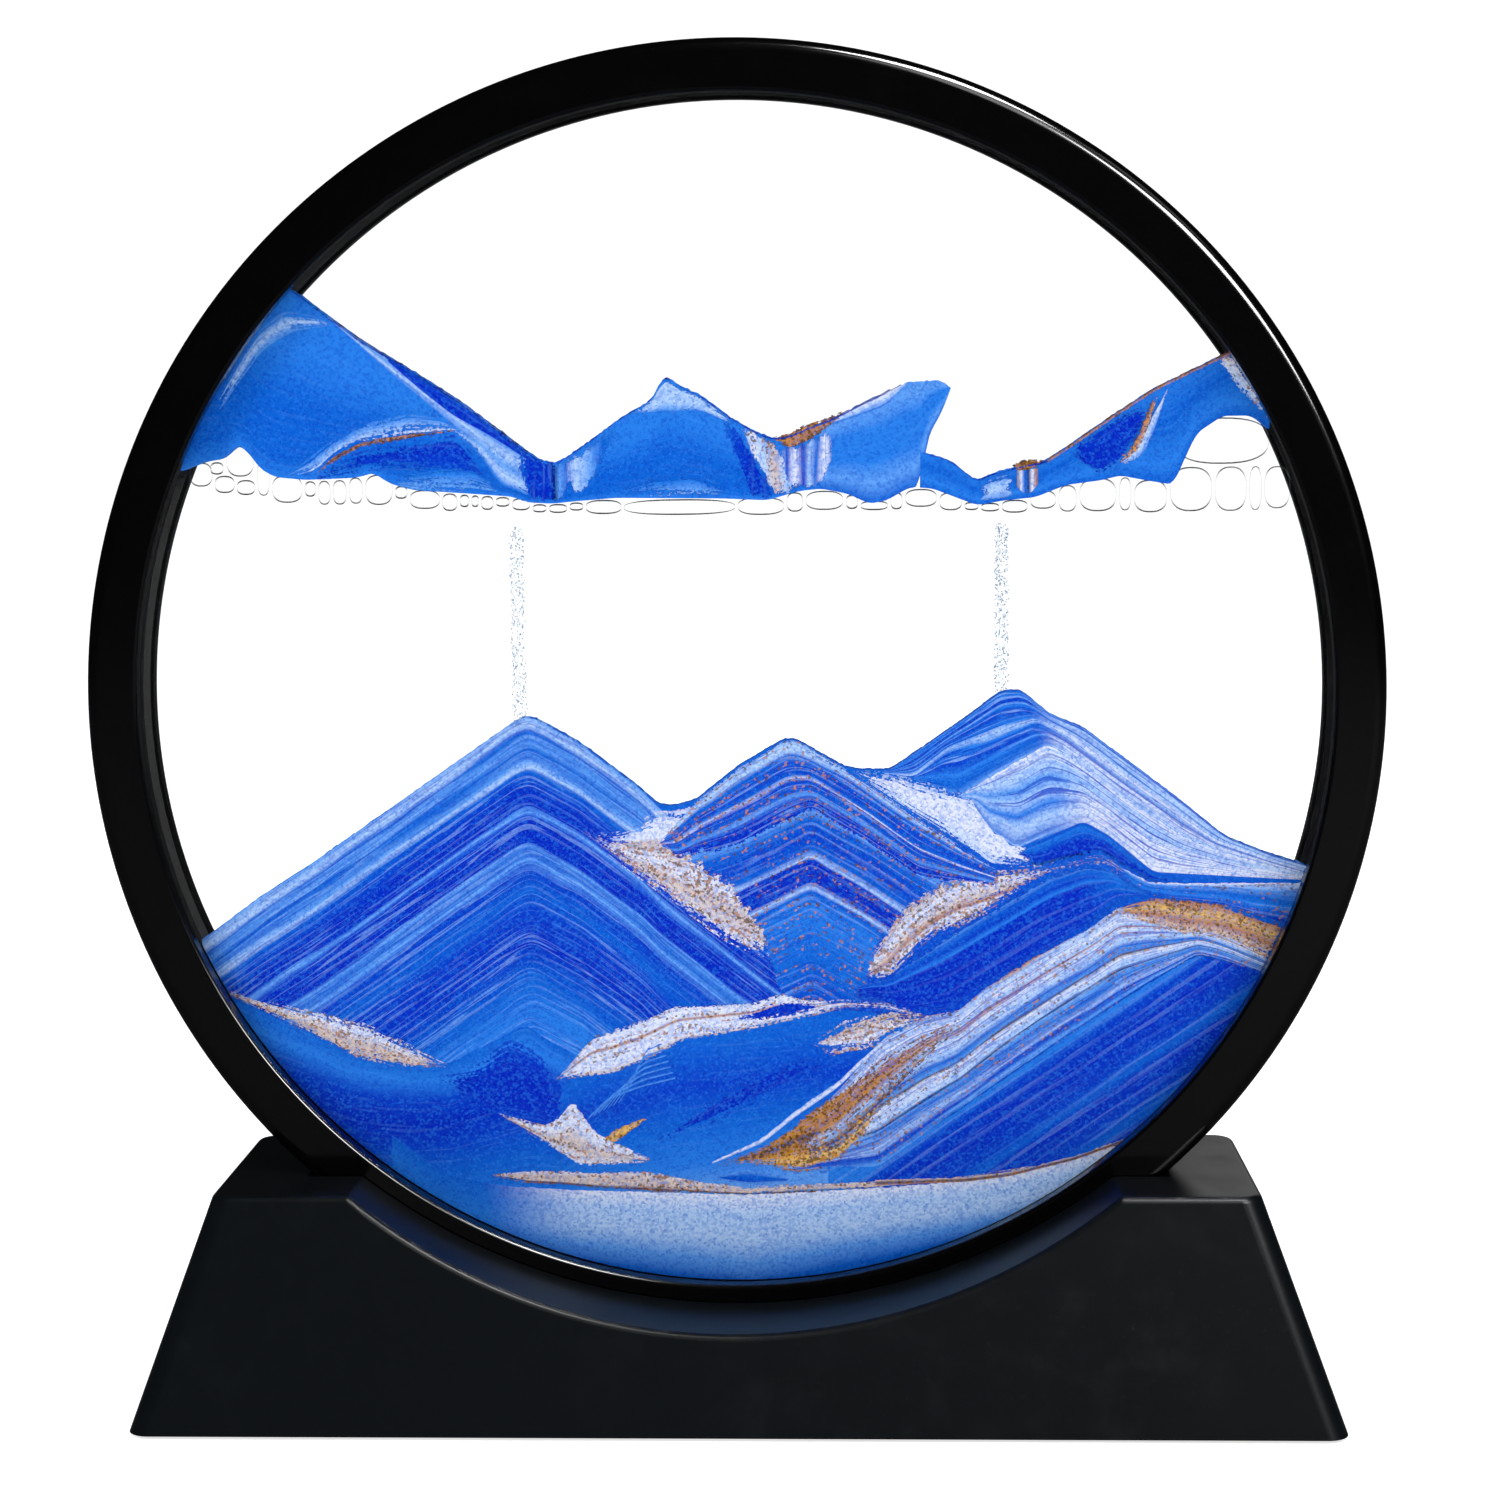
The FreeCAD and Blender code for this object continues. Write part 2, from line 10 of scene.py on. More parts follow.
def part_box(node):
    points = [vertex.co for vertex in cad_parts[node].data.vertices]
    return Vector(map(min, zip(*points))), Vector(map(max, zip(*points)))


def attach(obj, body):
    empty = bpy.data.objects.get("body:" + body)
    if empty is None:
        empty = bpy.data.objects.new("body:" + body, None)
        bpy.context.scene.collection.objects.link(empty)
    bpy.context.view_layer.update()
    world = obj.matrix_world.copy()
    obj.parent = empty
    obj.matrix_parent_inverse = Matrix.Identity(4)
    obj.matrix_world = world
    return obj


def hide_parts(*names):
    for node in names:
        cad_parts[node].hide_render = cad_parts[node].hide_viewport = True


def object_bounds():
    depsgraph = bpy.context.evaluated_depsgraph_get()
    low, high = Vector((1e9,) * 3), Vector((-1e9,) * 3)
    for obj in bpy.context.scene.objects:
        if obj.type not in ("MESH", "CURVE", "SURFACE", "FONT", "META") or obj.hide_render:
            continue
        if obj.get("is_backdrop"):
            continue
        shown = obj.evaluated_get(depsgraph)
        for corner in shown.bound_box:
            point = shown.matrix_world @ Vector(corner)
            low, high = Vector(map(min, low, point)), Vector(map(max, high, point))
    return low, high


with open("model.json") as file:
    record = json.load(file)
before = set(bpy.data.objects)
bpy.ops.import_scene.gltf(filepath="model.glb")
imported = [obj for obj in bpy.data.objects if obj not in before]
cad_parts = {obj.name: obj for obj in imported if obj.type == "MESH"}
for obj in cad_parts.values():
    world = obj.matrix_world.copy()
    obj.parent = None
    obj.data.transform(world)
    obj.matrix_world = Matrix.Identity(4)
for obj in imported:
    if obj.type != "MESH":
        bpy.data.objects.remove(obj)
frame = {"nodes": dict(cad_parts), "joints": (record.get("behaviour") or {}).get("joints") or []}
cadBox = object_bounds()
scene = bpy.context.scene
nodes = frame["nodes"]
mm = 0.001

# The disc's middle and the room between the panes, read from the frame
discCentre = Vector(frame["joints"][0]["pos_m"])
liquidLow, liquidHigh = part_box("liquid_fill")
cellRadius = (liquidHigh.x - liquidLow.x) / 2 / mm
cellHalf = (liquidHigh.y - liquidLow.y) / 2 / mm


# Shader writing

class Wire:  # one output of a shader node; Python's operators on it add Math nodes
    def __init__(self, graph, socket):
        self.graph = graph
        self.socket = socket

    def maths(self, operation, *inputs):
        return self.graph.node("ShaderNodeMath", {"operation": operation}, inputs)

    def __add__(self, other):
        return self.maths("ADD", self, other)

    def __sub__(self, other):
        return self.maths("SUBTRACT", self, other)

    def __rsub__(self, other):
        return self.maths("SUBTRACT", other, self)

    def __mul__(self, other):
        return self.maths("MULTIPLY", self, other)

    __radd__ = __add__
    __rmul__ = __mul__

    def outlet(self, key):  # another output of the same node
        return Wire(self.graph, self.socket.node.outputs[key])

    def rise(self, low, high):  # 0 below low, 1 above high, smooth between
        settings = {"interpolation_type": "SMOOTHSTEP"}
        return self.graph.node("ShaderNodeMapRange", settings, (self, low, high))


class Graph:  # the nodes of one material, or of the sky
    def __init__(self, name, kind="materials"):
        self.owner = getattr(bpy.data, kind).new(name)
        self.owner.use_nodes = True
        self.tree = self.owner.node_tree
        self.tree.nodes.clear()

    def node(self, kind, settings=None, inputs=(), out=0):
        made = self.tree.nodes.new(kind)
        for key, setting in (settings or {}).items():
            if key == "stops":
                setStops(made.color_ramp, setting)
            else:
                setattr(made, key, setting)
        pairs = inputs.items() if isinstance(inputs, dict) else enumerate(inputs)
        for key, entry in pairs:
            if isinstance(entry, Wire):
                self.tree.links.new(entry.socket, made.inputs[key])
            else:
                made.inputs[key].default_value = entry
        return Wire(self, made.outputs[out]) if made.outputs else None

    def place(self):  # where a point is on the piece, in metres, whatever the pose
        return self.node("ShaderNodeTexCoord", out="Object")

    def noise(self, vector, size, detail=2.0, roughness=0.5):  # size is a patch's width in mm
        inputs = {"Vector": vector, "Scale": 1 / (size * mm), "Detail": detail,
                  "Roughness": roughness}
        return self.node("ShaderNodeTexNoise", {}, inputs)

    def mix(self, factor, first, second, blend="MIX"):
        settings = {"data_type": "RGBA", "blend_type": blend}
        return self.node("ShaderNodeMix", settings, {0: factor, 6: first, 7: second}, out=2)

    def bump(self, height, strength, distance):
        inputs = {"Strength": strength, "Distance": distance * mm, "Height": height}
        return self.node("ShaderNodeBump", {}, inputs)

    def principled(self, **inputs):  # a socket's name with _ for its space
        named = {key.replace("_", " "): entry for key, entry in inputs.items()}
        return self.node("ShaderNodeBsdfPrincipled", {}, named)

    def finish(self, surface, output="ShaderNodeOutputMaterial"):
        self.node(output, {}, {"Surface": surface})
        return self.owner


def setStops(ramp, stops):
    while len(ramp.elements) < len(stops):
        ramp.elements.new(1.0)
    for element, (position, tint) in zip(ramp.elements, stops):
        element.position = position
        element.color = tint


def tint(red, green, blue):  # screen values from 0 to 255, as the linear colour that shaders take
    linear = [((part / 255 + 0.055) / 1.055) ** 2.4 if part > 10 else part / 255 / 12.92
              for part in (red, green, blue)]
    return (*linear, 1.0)


def coat(name, material):  # gives a CAD node its finish
    node = nodes[name]
    if not node.material_slots:
        node.data.materials.append(None)
    for holder in node.material_slots:
        holder.material = material


def newPiece(name, points, faces, materials, slots=None, smooth=False):
    mesh = bpy.data.meshes.new(name)
    mesh.from_pydata(points.tolist(), [], faces if isinstance(faces, list) else faces.tolist())
    for material in materials:
        mesh.materials.append(material)
    if slots is not None:
        mesh.polygons.foreach_set("material_index", slots)
    mesh.polygons.foreach_set("use_smooth", [smooth] * len(mesh.polygons))
    mesh.update()
    piece = bpy.data.objects.new(name, mesh)
    piece.location = discCentre
    scene.collection.objects.link(piece)
    return piece


# Black plastic, rubber and metal

ringFinish = dict(colour=tint(2, 2, 3), sheen=tint(7, 7, 8), gloss=0.12, worn=0.2, sheenLevel=0.5)
baseFinish = dict(colour=tint(8, 12, 15), sheen=tint(20, 26, 30), gloss=0.3, worn=0.44,
                  sheenLevel=0.15)


def mouldedPlastic(name, finish, textureSize, textureHeight):
    graph = Graph(name)
    place = graph.place()
    flow = graph.noise(place, 38.0, 3.0)
    haze = graph.noise(place, 6.0, 4.0, 0.65)
    stretched = graph.node("ShaderNodeMapping", {"vector_type": "POINT"},
                           {"Vector": place, "Rotation": (0.3, 0.5, 0.2),
                            "Scale": (1.0, 0.04, 0.6)})
    scratches = graph.noise(stretched, 0.35, 2.0).rise(0.70, 0.76)
    dust = graph.noise(place, 0.42, 0.0).rise(0.74, 0.80)
    grain = graph.noise(place, textureSize, 2.0)
    worn = (haze.rise(0.45, 0.75) * 0.35 + scratches * 0.5 + dust * 0.6) * flow.rise(0.3, 0.7)
    colour = graph.mix(worn * 0.5, finish["colour"], finish["sheen"])
    roughness = worn * (finish["worn"] - finish["gloss"]) + finish["gloss"]
    normal = graph.bump(grain, 0.35, textureHeight)
    return graph.finish(graph.principled(Base_Color=colour, Roughness=roughness, Normal=normal,
                                         IOR=1.46, Specular_IOR_Level=finish["sheenLevel"]))


def softRubber(name, dark, light, roughness):
    graph = Graph(name)
    place = graph.place()
    speckle = graph.noise(place, 0.5, 3.0)
    bloom = graph.noise(place, 5.0, 3.0, 0.6)
    colour = graph.mix(bloom.rise(0.4, 0.7), dark, light)
    shine = speckle * 0.15 + (roughness - 0.07)
    normal = graph.bump(speckle, 0.4, 0.05)
    return graph.finish(graph.principled(Base_Color=colour, Roughness=shine, Normal=normal))


def platedSteel(name):
    graph = Graph(name)
    place = graph.place()
    turned = graph.node("ShaderNodeMapping", {"vector_type": "POINT"},
                        {"Vector": place, "Scale": (1.0, 1.0, 0.1)})
    lines = graph.noise(turned, 0.12, 3.0)
    tarnish = graph.noise(place, 1.6, 3.0).rise(0.45, 0.7)
    colour = graph.mix(tarnish, tint(196, 198, 200), tint(150, 148, 140))
    roughness = lines * 0.25 + tarnish * 0.15 + 0.18
    normal = graph.bump(lines, 0.3, 0.02)
    return graph.finish(graph.principled(Base_Color=colour, Roughness=roughness, Normal=normal,
                                         Metallic=1.0))


ringBlack = mouldedPlastic("ringGlossBlack", ringFinish, 0.9, 0.004)
baseBlack = mouldedPlastic("baseSatinBlack", baseFinish, 0.16, 0.012)
for name in ("base_shell", "base_cover"):
    coat(name, baseBlack)
coat("fill_plug", softRubber("plugSilicone", tint(26, 26, 28), tint(38, 38, 40), 0.62))
coat("foot_pads", softRubber("padRubber", tint(34, 34, 35), tint(52, 51, 50), 0.85))
for name in ("front_gasket", "rear_gasket"):
    coat(name, softRubber(name + "Rubber", tint(20, 20, 22), tint(30, 30, 32), 0.7))
coat("edge_sealant", softRubber("sealantSilicone", tint(44, 45, 47), tint(60, 61, 64), 0.4))
coat("spacer_ring", mouldedPlastic("spacerBlack", baseFinish, 0.3, 0.01))
coat("cover_screws", platedSteel("screwSteel"))
print("black parts: ring, base, rubber and screws finished")


# Ring frame: each half is turned from its section, then drilled for the filling plug

ringCut = dict(spokes=288, face=7.0, wall=2.6, outerRound=1.8, bezelRound=0.5, tongue=1.2, lap=1.5,
               play=0.1, arcSteps=8, support=0.12, sharp=32)
portCut = dict(headPlay=0.1, headDepth=0.9, neck=1.1, neckDepth=6.0, above=3.0, sides=48)


def roundedCorner(radius, height, size, outward):  # section points of a rounded edge, r and y in mm
    steps = [i / ringCut["arcSteps"] * math.pi / 2 for i in range(ringCut["arcSteps"] + 1)]
    arc = [(radius - outward * size * (1 - math.cos(turn)), height - size * (1 - math.sin(turn)))
           for turn in steps]
    before = (radius, height - size - ringCut["support"])
    after = (arc[-1][0] - outward * ringCut["support"], height)
    return [before, *arc, after]


def ringSection(joint):
    face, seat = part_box("rear_frame_ring")[1].y / mm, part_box("rear_gasket")[1].y / mm
    outer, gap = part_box("rear_frame_ring")[1].x / mm, ringCut["support"]
    opening, bore = outer - ringCut["face"], outer - ringCut["wall"]
    bezel = roundedCorner(opening, face, ringCut["bezelRound"], -1)
    rim = roundedCorner(outer, face, ringCut["outerRound"], 1)
    return [(opening, seat), (opening, seat + gap), *bezel, *rim[::-1], (outer, gap),
            *joint(outer, bore), (bore, seat - gap), (bore, seat), (opening + gap, seat)]


def rebate(outer, bore):
    inner, floor = bore + ringCut["tongue"] + ringCut["play"], ringCut["lap"] + ringCut["play"]
    return [(outer, 0), (inner, 0), (inner, floor), (bore, floor)]


def tongue(outer, bore):
    inner = bore + ringCut["tongue"]
    return [(outer, 0), (inner, 0), (inner, -ringCut["lap"]), (bore, -ringCut["lap"])]


def solidOfTurning(name, section, side, material):
    turns = np.linspace(0, 2 * math.pi, ringCut["spokes"], endpoint=False)
    points = [(r * math.cos(turn), side * y, r * math.sin(turn)) for turn in turns
              for r, y in section]
    count, total = len(section), len(section) * len(turns)
    faces = []
    for spoke in range(len(turns)):
        for i in range(count):
            a, b = spoke * count + i, spoke * count + (i + 1) % count
            quad = [a, b, (b + count) % total, (a + count) % total]
            faces.append(quad if side > 0 else quad[::-1])
    return newPiece(name, np.array(points) * mm, faces, [material], smooth=True)


def drill(piece, radius, low, high):  # a round hole up the middle, between two heights in mm
    bpy.ops.mesh.primitive_cylinder_add(vertices=portCut["sides"], radius=radius * mm,
                                        depth=(high - low) * mm)
    bit = bpy.context.object
    bit.location = discCentre + Vector((0, 0, (low + high) / 2 * mm))
    cut = piece.modifiers.new("hole", "BOOLEAN")
    cut.operation, cut.solver, cut.object = "DIFFERENCE", "EXACT", bit
    bpy.context.view_layer.update()
    drilled = bpy.data.meshes.new_from_object(piece.evaluated_get(
        bpy.context.evaluated_depsgraph_get()))
    piece.modifiers.clear()
    piece.data = drilled
    bpy.data.objects.remove(bit)


def frameRing(name, joint, side, nodeName):
    piece = solidOfTurning(name, ringSection(joint), side, ringBlack)
    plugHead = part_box("fill_plug")
    headRadius, headTop = plugHead[1].x / mm, (plugHead[1].z - discCentre.z) / mm
    drill(piece, headRadius + portCut["headPlay"], headTop - portCut["headDepth"],
          headTop + portCut["above"])
    drill(piece, portCut["neck"], headTop - portCut["neckDepth"], headTop)
    piece.data.set_sharp_from_angle(angle=math.radians(ringCut["sharp"]))
    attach(piece, "disc")
    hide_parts(nodeName)


frameRing("frontFrameRing", rebate, -1, "front_frame_ring")
frameRing("rearFrameRing", tongue, 1, "rear_frame_ring")
print("ring frame turned and drilled")


# Glass and liquid

glassFinish = dict(bend=1.5, shine=0.15, smear=22.0, clear=(0.997, 0.999, 0.998, 1))
liquidFinish = dict(drift=30.0, haze=0.004, clear=(0.998, 1.0, 1.0, 1), tint=(0.9, 0.95, 1.0, 1))


def clearPane(name):
    graph = Graph(name)
    smear = graph.noise(graph.place(), glassFinish["smear"], 3.0)
    fresnel = graph.node("ShaderNodeFresnel", {}, {"IOR": glassFinish["bend"]})
    shine = graph.node("ShaderNodeBsdfAnisotropic", {},
                       {"Color": (1, 1, 1, 1), "Roughness": smear * 0.03 + 0.015})
    through = graph.node("ShaderNodeBsdfTransparent", {}, {"Color": glassFinish["clear"]})
    return graph.finish(graph.node("ShaderNodeMixShader", {},
                                   (fresnel * glassFinish["shine"], through, shine)))


def clearLiquid(name):
    graph = Graph(name)
    drift = graph.noise(graph.place(), liquidFinish["drift"], 2.0)
    through = graph.node("ShaderNodeBsdfTransparent", {}, {"Color": liquidFinish["clear"]})
    haze = graph.principled(Base_Color=liquidFinish["tint"], Roughness=0.3)
    return graph.finish(graph.node("ShaderNodeMixShader", {},
                                   (drift * liquidFinish["haze"], through, haze)))


paneGlass = clearPane("paneGlass")
for name in ("front_glass_pane", "rear_glass_pane"):
    coat(name, paneGlass)
print("glass and liquid finished")


# Sand. A layer lies between its top and bottom, x and z in mm from the disc's middle, and hides the
# layers before it. Its bands run from 0 at the top to 1 at the bottom, at a guide in its place, or
# between two guides, and run across where the layer is upright. farBands take over to the right of
# turn. span is that run's depth in mm. streaks are how far the bands waver in mm and how strongly
# they are streaked, comb is the spacing in mm and the strength of fine lines along the layer, and
# flecks is the share of brown grains. ease is how many mm the grains take to thin out at its edges.
# frayTop and frayFoot are stretches with pointed ends: from x, to x, and the points' height.

sandTints = dict(
    night=tint(0, 26, 96), deep=tint(0, 37, 180), royal=tint(2, 56, 188), mid=tint(8, 92, 200),
    azure=tint(36, 119, 218), sky=tint(92, 152, 228), pale=tint(172, 200, 238),
    lilac=tint(218, 222, 238), rose=tint(208, 188, 176), bronze=tint(178, 122, 84),
    umber=tint(84, 58, 34), gold=tint(190, 130, 22), straw=tint(222, 180, 96),
)
skyline = [
    (-79, -36.8), (-65.6, -27.1), (-57.9, -22.2), (-29.8, -2.9), (-28, -2.2), (-26.5, -2.9),
    (-21.2, -5.9), (-12.8, -12.3), (-10.4, -14.6), (-8.1, -14.7), (-5.3, -13.9), (0.6, -9.2),
    (6.9, -5.6), (8.4, -5.6), (15.4, -9.6), (17.8, -9.9), (21.3, -9.9), (31.8, -2.7),
    (36.3, 0.7), (39.1, 0.9), (43, -2.5), (47.4, -4.2), (60.1, -13.8), (66.8, -19.3),
    (72.8, -21.7), (79, -23.6),
]
rowTop = [  # the bubbles' upper edge, which the hanging sand rests on
    (-76, 31), (-71.3, 32.7), (-69, 33), (-66.7, 35), (-65.1, 33.7), (-63.8, 31.7), (-61.7, 30.5),
    (-57.6, 30.1), (-51, 30.3), (-48.4, 31), (-46.1, 29.5), (-43, 28.6), (-34.7, 28),
    (-29.6, 27.6), (-27.4, 26.8), (-24.2, 26.6), (-20.9, 26.9), (-15.5, 27.3), (-1.1, 27.1),
    (4.9, 26.8), (9.2, 28), (12.2, 28.3), (15.7, 27.6), (18.7, 26.2), (21.1, 26.7),
    (24.1, 28.4), (27.1, 28.2), (30.7, 26.8), (33.1, 25.9), (36.7, 26.5), (40.9, 26.9),
    (45, 28.5), (49.8, 29.1), (52.2, 29.7), (55.8, 29), (59.3, 28.4), (60.2, 30.5),
    (62.3, 35.2), (65.8, 37.5), (69.9, 37.5), (73.5, 34.5),
]


def lowered(points, drop):
    return [(x, z - drop) for x, z in points]


def between(points, low, high):  # the stretch of an outline between two x, ends included
    inside = [point for point in points if low < point[0] < high]
    heights = np.interp((low, high), *zip(*points))
    return [(low, float(heights[0])), *inside, (high, float(heights[1]))]


def bands(*names):  # colours in turn; a number before a name moves that colour to its place
    stops, place = [], None
    for entry in names:
        if isinstance(entry, (int, float)):
            place = entry
        else:
            stops.append([place, sandTints[entry]])
            place = None
    stops[0][0] = stops[0][0] or 0.0
    stops[-1][0] = 1.0 if stops[-1][0] is None else stops[-1][0]
    known = [i for i, stop in enumerate(stops) if stop[0] is not None]
    for first, last in zip(known, known[1:]):
        for i in range(first + 1, last):
            share = (i - first) / (last - first)
            stops[i][0] = stops[first][0] + share * (stops[last][0] - stops[first][0])
    return stops


leftRidge = [(-79, -36.8), *skyline[1:8], (-10, -15.2), (8, -29.6)]
middleGuide = [(-12, -23.6), (0.5, -19.8), (10.5, -15.0), (17.5, -19), (25, -24), (36, -29.5)]
innerA = [(20.5, -10.3), (24.5, -10.8), (29, -7.3), (41, -3), (45, -5.2), (53, -11.2),
          (65, -19.8), (72.8, -22.6), (79, -24.5)]
innerB = [(24.5, -11.2), (30.5, -13.5), (42.5, -6.5), (45, -7.7), (53, -13.8), (61, -19.2),
          (67, -21.6), (79, -24.8)]
innerC = [(30.5, -13.6), (33, -15), (34.5, -18), (38.5, -21), (47.5, -17), (51, -19), (57, -24),
          (79, -25.3)]

duneLayers = dict(
    ground=dict(top=skyline, bottom=[(-79, -85), (79, -85)], span=80,
                bands=bands("mid", "royal", "mid")),
    leftDune=dict(
        top=leftRidge, bottom=[(-79, -75), (8, -75)], guide=lowered(leftRidge, 40),
        comb=(1.15, 0.42), span=40,
        bands=bands(0, "sky", 0.03, "pale", 0.055, "mid", 0.08, "sky", 0.11, "mid", 0.15, "sky",
                    0.165, "pale", 0.18, "mid", 0.225, "royal", 0.26, "deep", 0.305, "deep",
                    0.32, "sky", 0.345, "royal", 0.36, "deep", 0.425, "deep", 0.44, "sky",
                    0.47, "mid", 0.50, "sky", 0.53, "royal", 0.6, "mid", 0.66, "royal",
                    0.78, "deep", 0.9, "mid", "azure"),
        streaks=(0.75, 0.7)),
    valleySandLeft=dict(
        top=[(-21, -18), (-16.5, -18), (-12.5, -16), (-10.4, -14.6), (-8.1, -14.7), (-5.3, -13.9),
             (7, -13.9)],
        bottom=[(-21, -18), (-16, -22.5), (-8, -29), (-2, -33.5), (6, -38)], ease=2.4,
        comb=(1.3, 0.14), span=12,
        bands=bands("lilac", 0.34, "lilac", 0.42, "rose", 0.6, "lilac", 0.75, "rose", "lilac"),
        streaks=(0.3, 0.25), flecks=0.55, fleckFrom=0.38, frayTop=[(-21, -11, 1.1)]),
    saddleSand=dict(
        top=[(15.4, -9.7), (17.8, -9.9), (22, -10), (24.5, -11), (30.5, -12), (33, -12.5),
             (34.5, -16), (38.5, -19), (42, -22)],
        bottom=[(15.4, -9.7), (23, -15.3), (31, -20.8), (35, -23.5), (42, -23.3)], ease=2.2, span=9,
        bands=bands("pale", "lilac", "lilac", "pale"), streaks=(0.25, 0.12)),
    valleySandRight=dict(
        top=[(16, -39), (23, -27.5), (31, -22), (35, -22.8), (39.5, -23), (45, -22.4),
             (50, -21.3), (53, -23.3), (56.5, -25.3), (61, -25.5)],
        bottom=[(16, -39.5), (21, -39), (27, -33.5), (33, -30.5), (43, -24.6), (48, -23),
                (51, -23.6), (54, -25.6), (61, -26)], ease=2.4, comb=(1.3, 0.16), span=8,
        bands=bands("lilac", "rose", "lilac", 0.62, "rose", 0.7, "bronze", 0.76, "lilac", "rose"),
        streaks=(0.35, 0.3), flecks=0.5),
    middleBody=dict(
        top=[(-10.5, -19.7), (-5.5, -15), (0.5, -11), (7, -8), (15.4, -12), (23, -17),
             (36, -24)],
        bottom=[(-10.5, -19.8), (-8, -22), (-0.5, -27.5), (3.5, -33), (5, -37), (6.5, -44),
                (17, -44), (18, -39), (19, -36), (23, -30.5), (27, -28), (36, -24.2)],
        guides=(middleGuide, lowered(middleGuide, 30)), ease=1.8, comb=(1.5, 0.35), span=30,
        bands=bands(0, "sky", 0.04, "mid", 0.12, "royal", 0.19, "mid", 0.22, "pale",
                    0.235, "deep", 0.33, "deep", 0.355, "pale", 0.38, "mid", 0.46, "azure",
                    0.7, "mid", "royal"),
        streaks=(0.5, 0.65), flecks=0.16, frayFoot=[(-10.5, 5, 1.3), (18, 35, 1.3)]),
    middleCap=dict(
        top=[(-10.5, -19.7), (-5.3, -14), (0.6, -9.2), (6.9, -5.6), (8.4, -5.6), (15.4, -9.6),
             (23, -15), (31, -20.5), (36, -23.5)],
        bottom=[(-10.5, -20.2), (-8, -22.4), (0.5, -20.6), (10.5, -15.4), (17.5, -19.6),
                (25, -25), (36, -26.2)], ease=0.8, comb=(1.2, 0.5), span=11,
        bands=bands(0, "sky", 0.05, "pale", 0.12, "pale", 0.2, "mid", 0.36, "royal", 0.46, "mid",
                    0.5, "lilac", 0.535, "royal", 0.66, "mid", 0.72, "sky", 0.77, "deep",
                    "deep"),
        streaks=(0.55, 0.75), flecks=0.2, frayFoot=[(-10.5, -3, 0.9)]),
    rightOuter=dict(
        top=between(skyline, 20.5, 79), bottom=innerA, comb=(1.05, 0.6), span=6,
        bands=bands("mid", "azure", 0.3, "deep", 0.42, "azure", 0.6, "royal", 0.85, "azure",
                    "pale"),
        farBands=bands("sky", 0.12, "royal", 0.2, "pale", 0.45, "pale", 0.52, "mid", 0.6, "pale",
                       "lilac"),
        turn=(40, 45), streaks=(0.55, 0.6)),
    rightUpper=dict(
        top=innerA[1:], bottom=innerB, comb=(1.1, 0.8), span=5,
        bands=bands("pale", 0.12, "azure", 0.35, "royal", 0.5, "azure", 0.75, "mid", "sky"),
        farBands=bands("pale", 0.3, "royal", 0.38, "lilac", "pale"),
        turn=(41, 45), streaks=(0.6, 0.6), frayFoot=[(24.5, 31, 0.8)]),
    rightMiddle=dict(
        top=innerB[1:], bottom=innerC, comb=(1.2, 0.85), span=9,
        bands=bands("lilac", 0.2, "pale", 0.35, "sky", 0.5, "pale", 0.62, "azure", 0.75, "pale",
                    "mid"),
        farBands=bands("lilac", 0.3, "pale", 0.5, "lilac", "lilac"),
        turn=(43, 50), streaks=(0.35, 0.5), frayFoot=[(30.5, 39, 1.0)]),
    rightLower=dict(
        top=[(38.5, -21.2), (47.5, -17), (51, -19), (57, -24.2), (61, -25.2)],
        bottom=[(38.5, -21.6), (41, -23.2), (45, -22.3), (50, -21.2), (53, -23.3), (57, -25.4),
                (61, -25.6)], ease=0.6, span=4,
        bands=bands("azure", 0.3, "mid", 0.5, "deep", 0.85, "deep", "night"), streaks=(0.4, 0.4)),
    wallBlue=dict(
        top=[(53, -23.6), (56.5, -25.5), (61, -25.6), (79, -25.6)],
        bottom=[(53, -24.5), (55, -26.5), (59.5, -27.5), (67, -28.5), (79, -32.5)],
        comb=(1.2, 0.3), span=4,
        bands=bands("lilac", 0.2, "sky", 0.4, "mid", 0.7, "azure", "royal"), streaks=(0.6, 0.5),
        flecks=0.1),
)

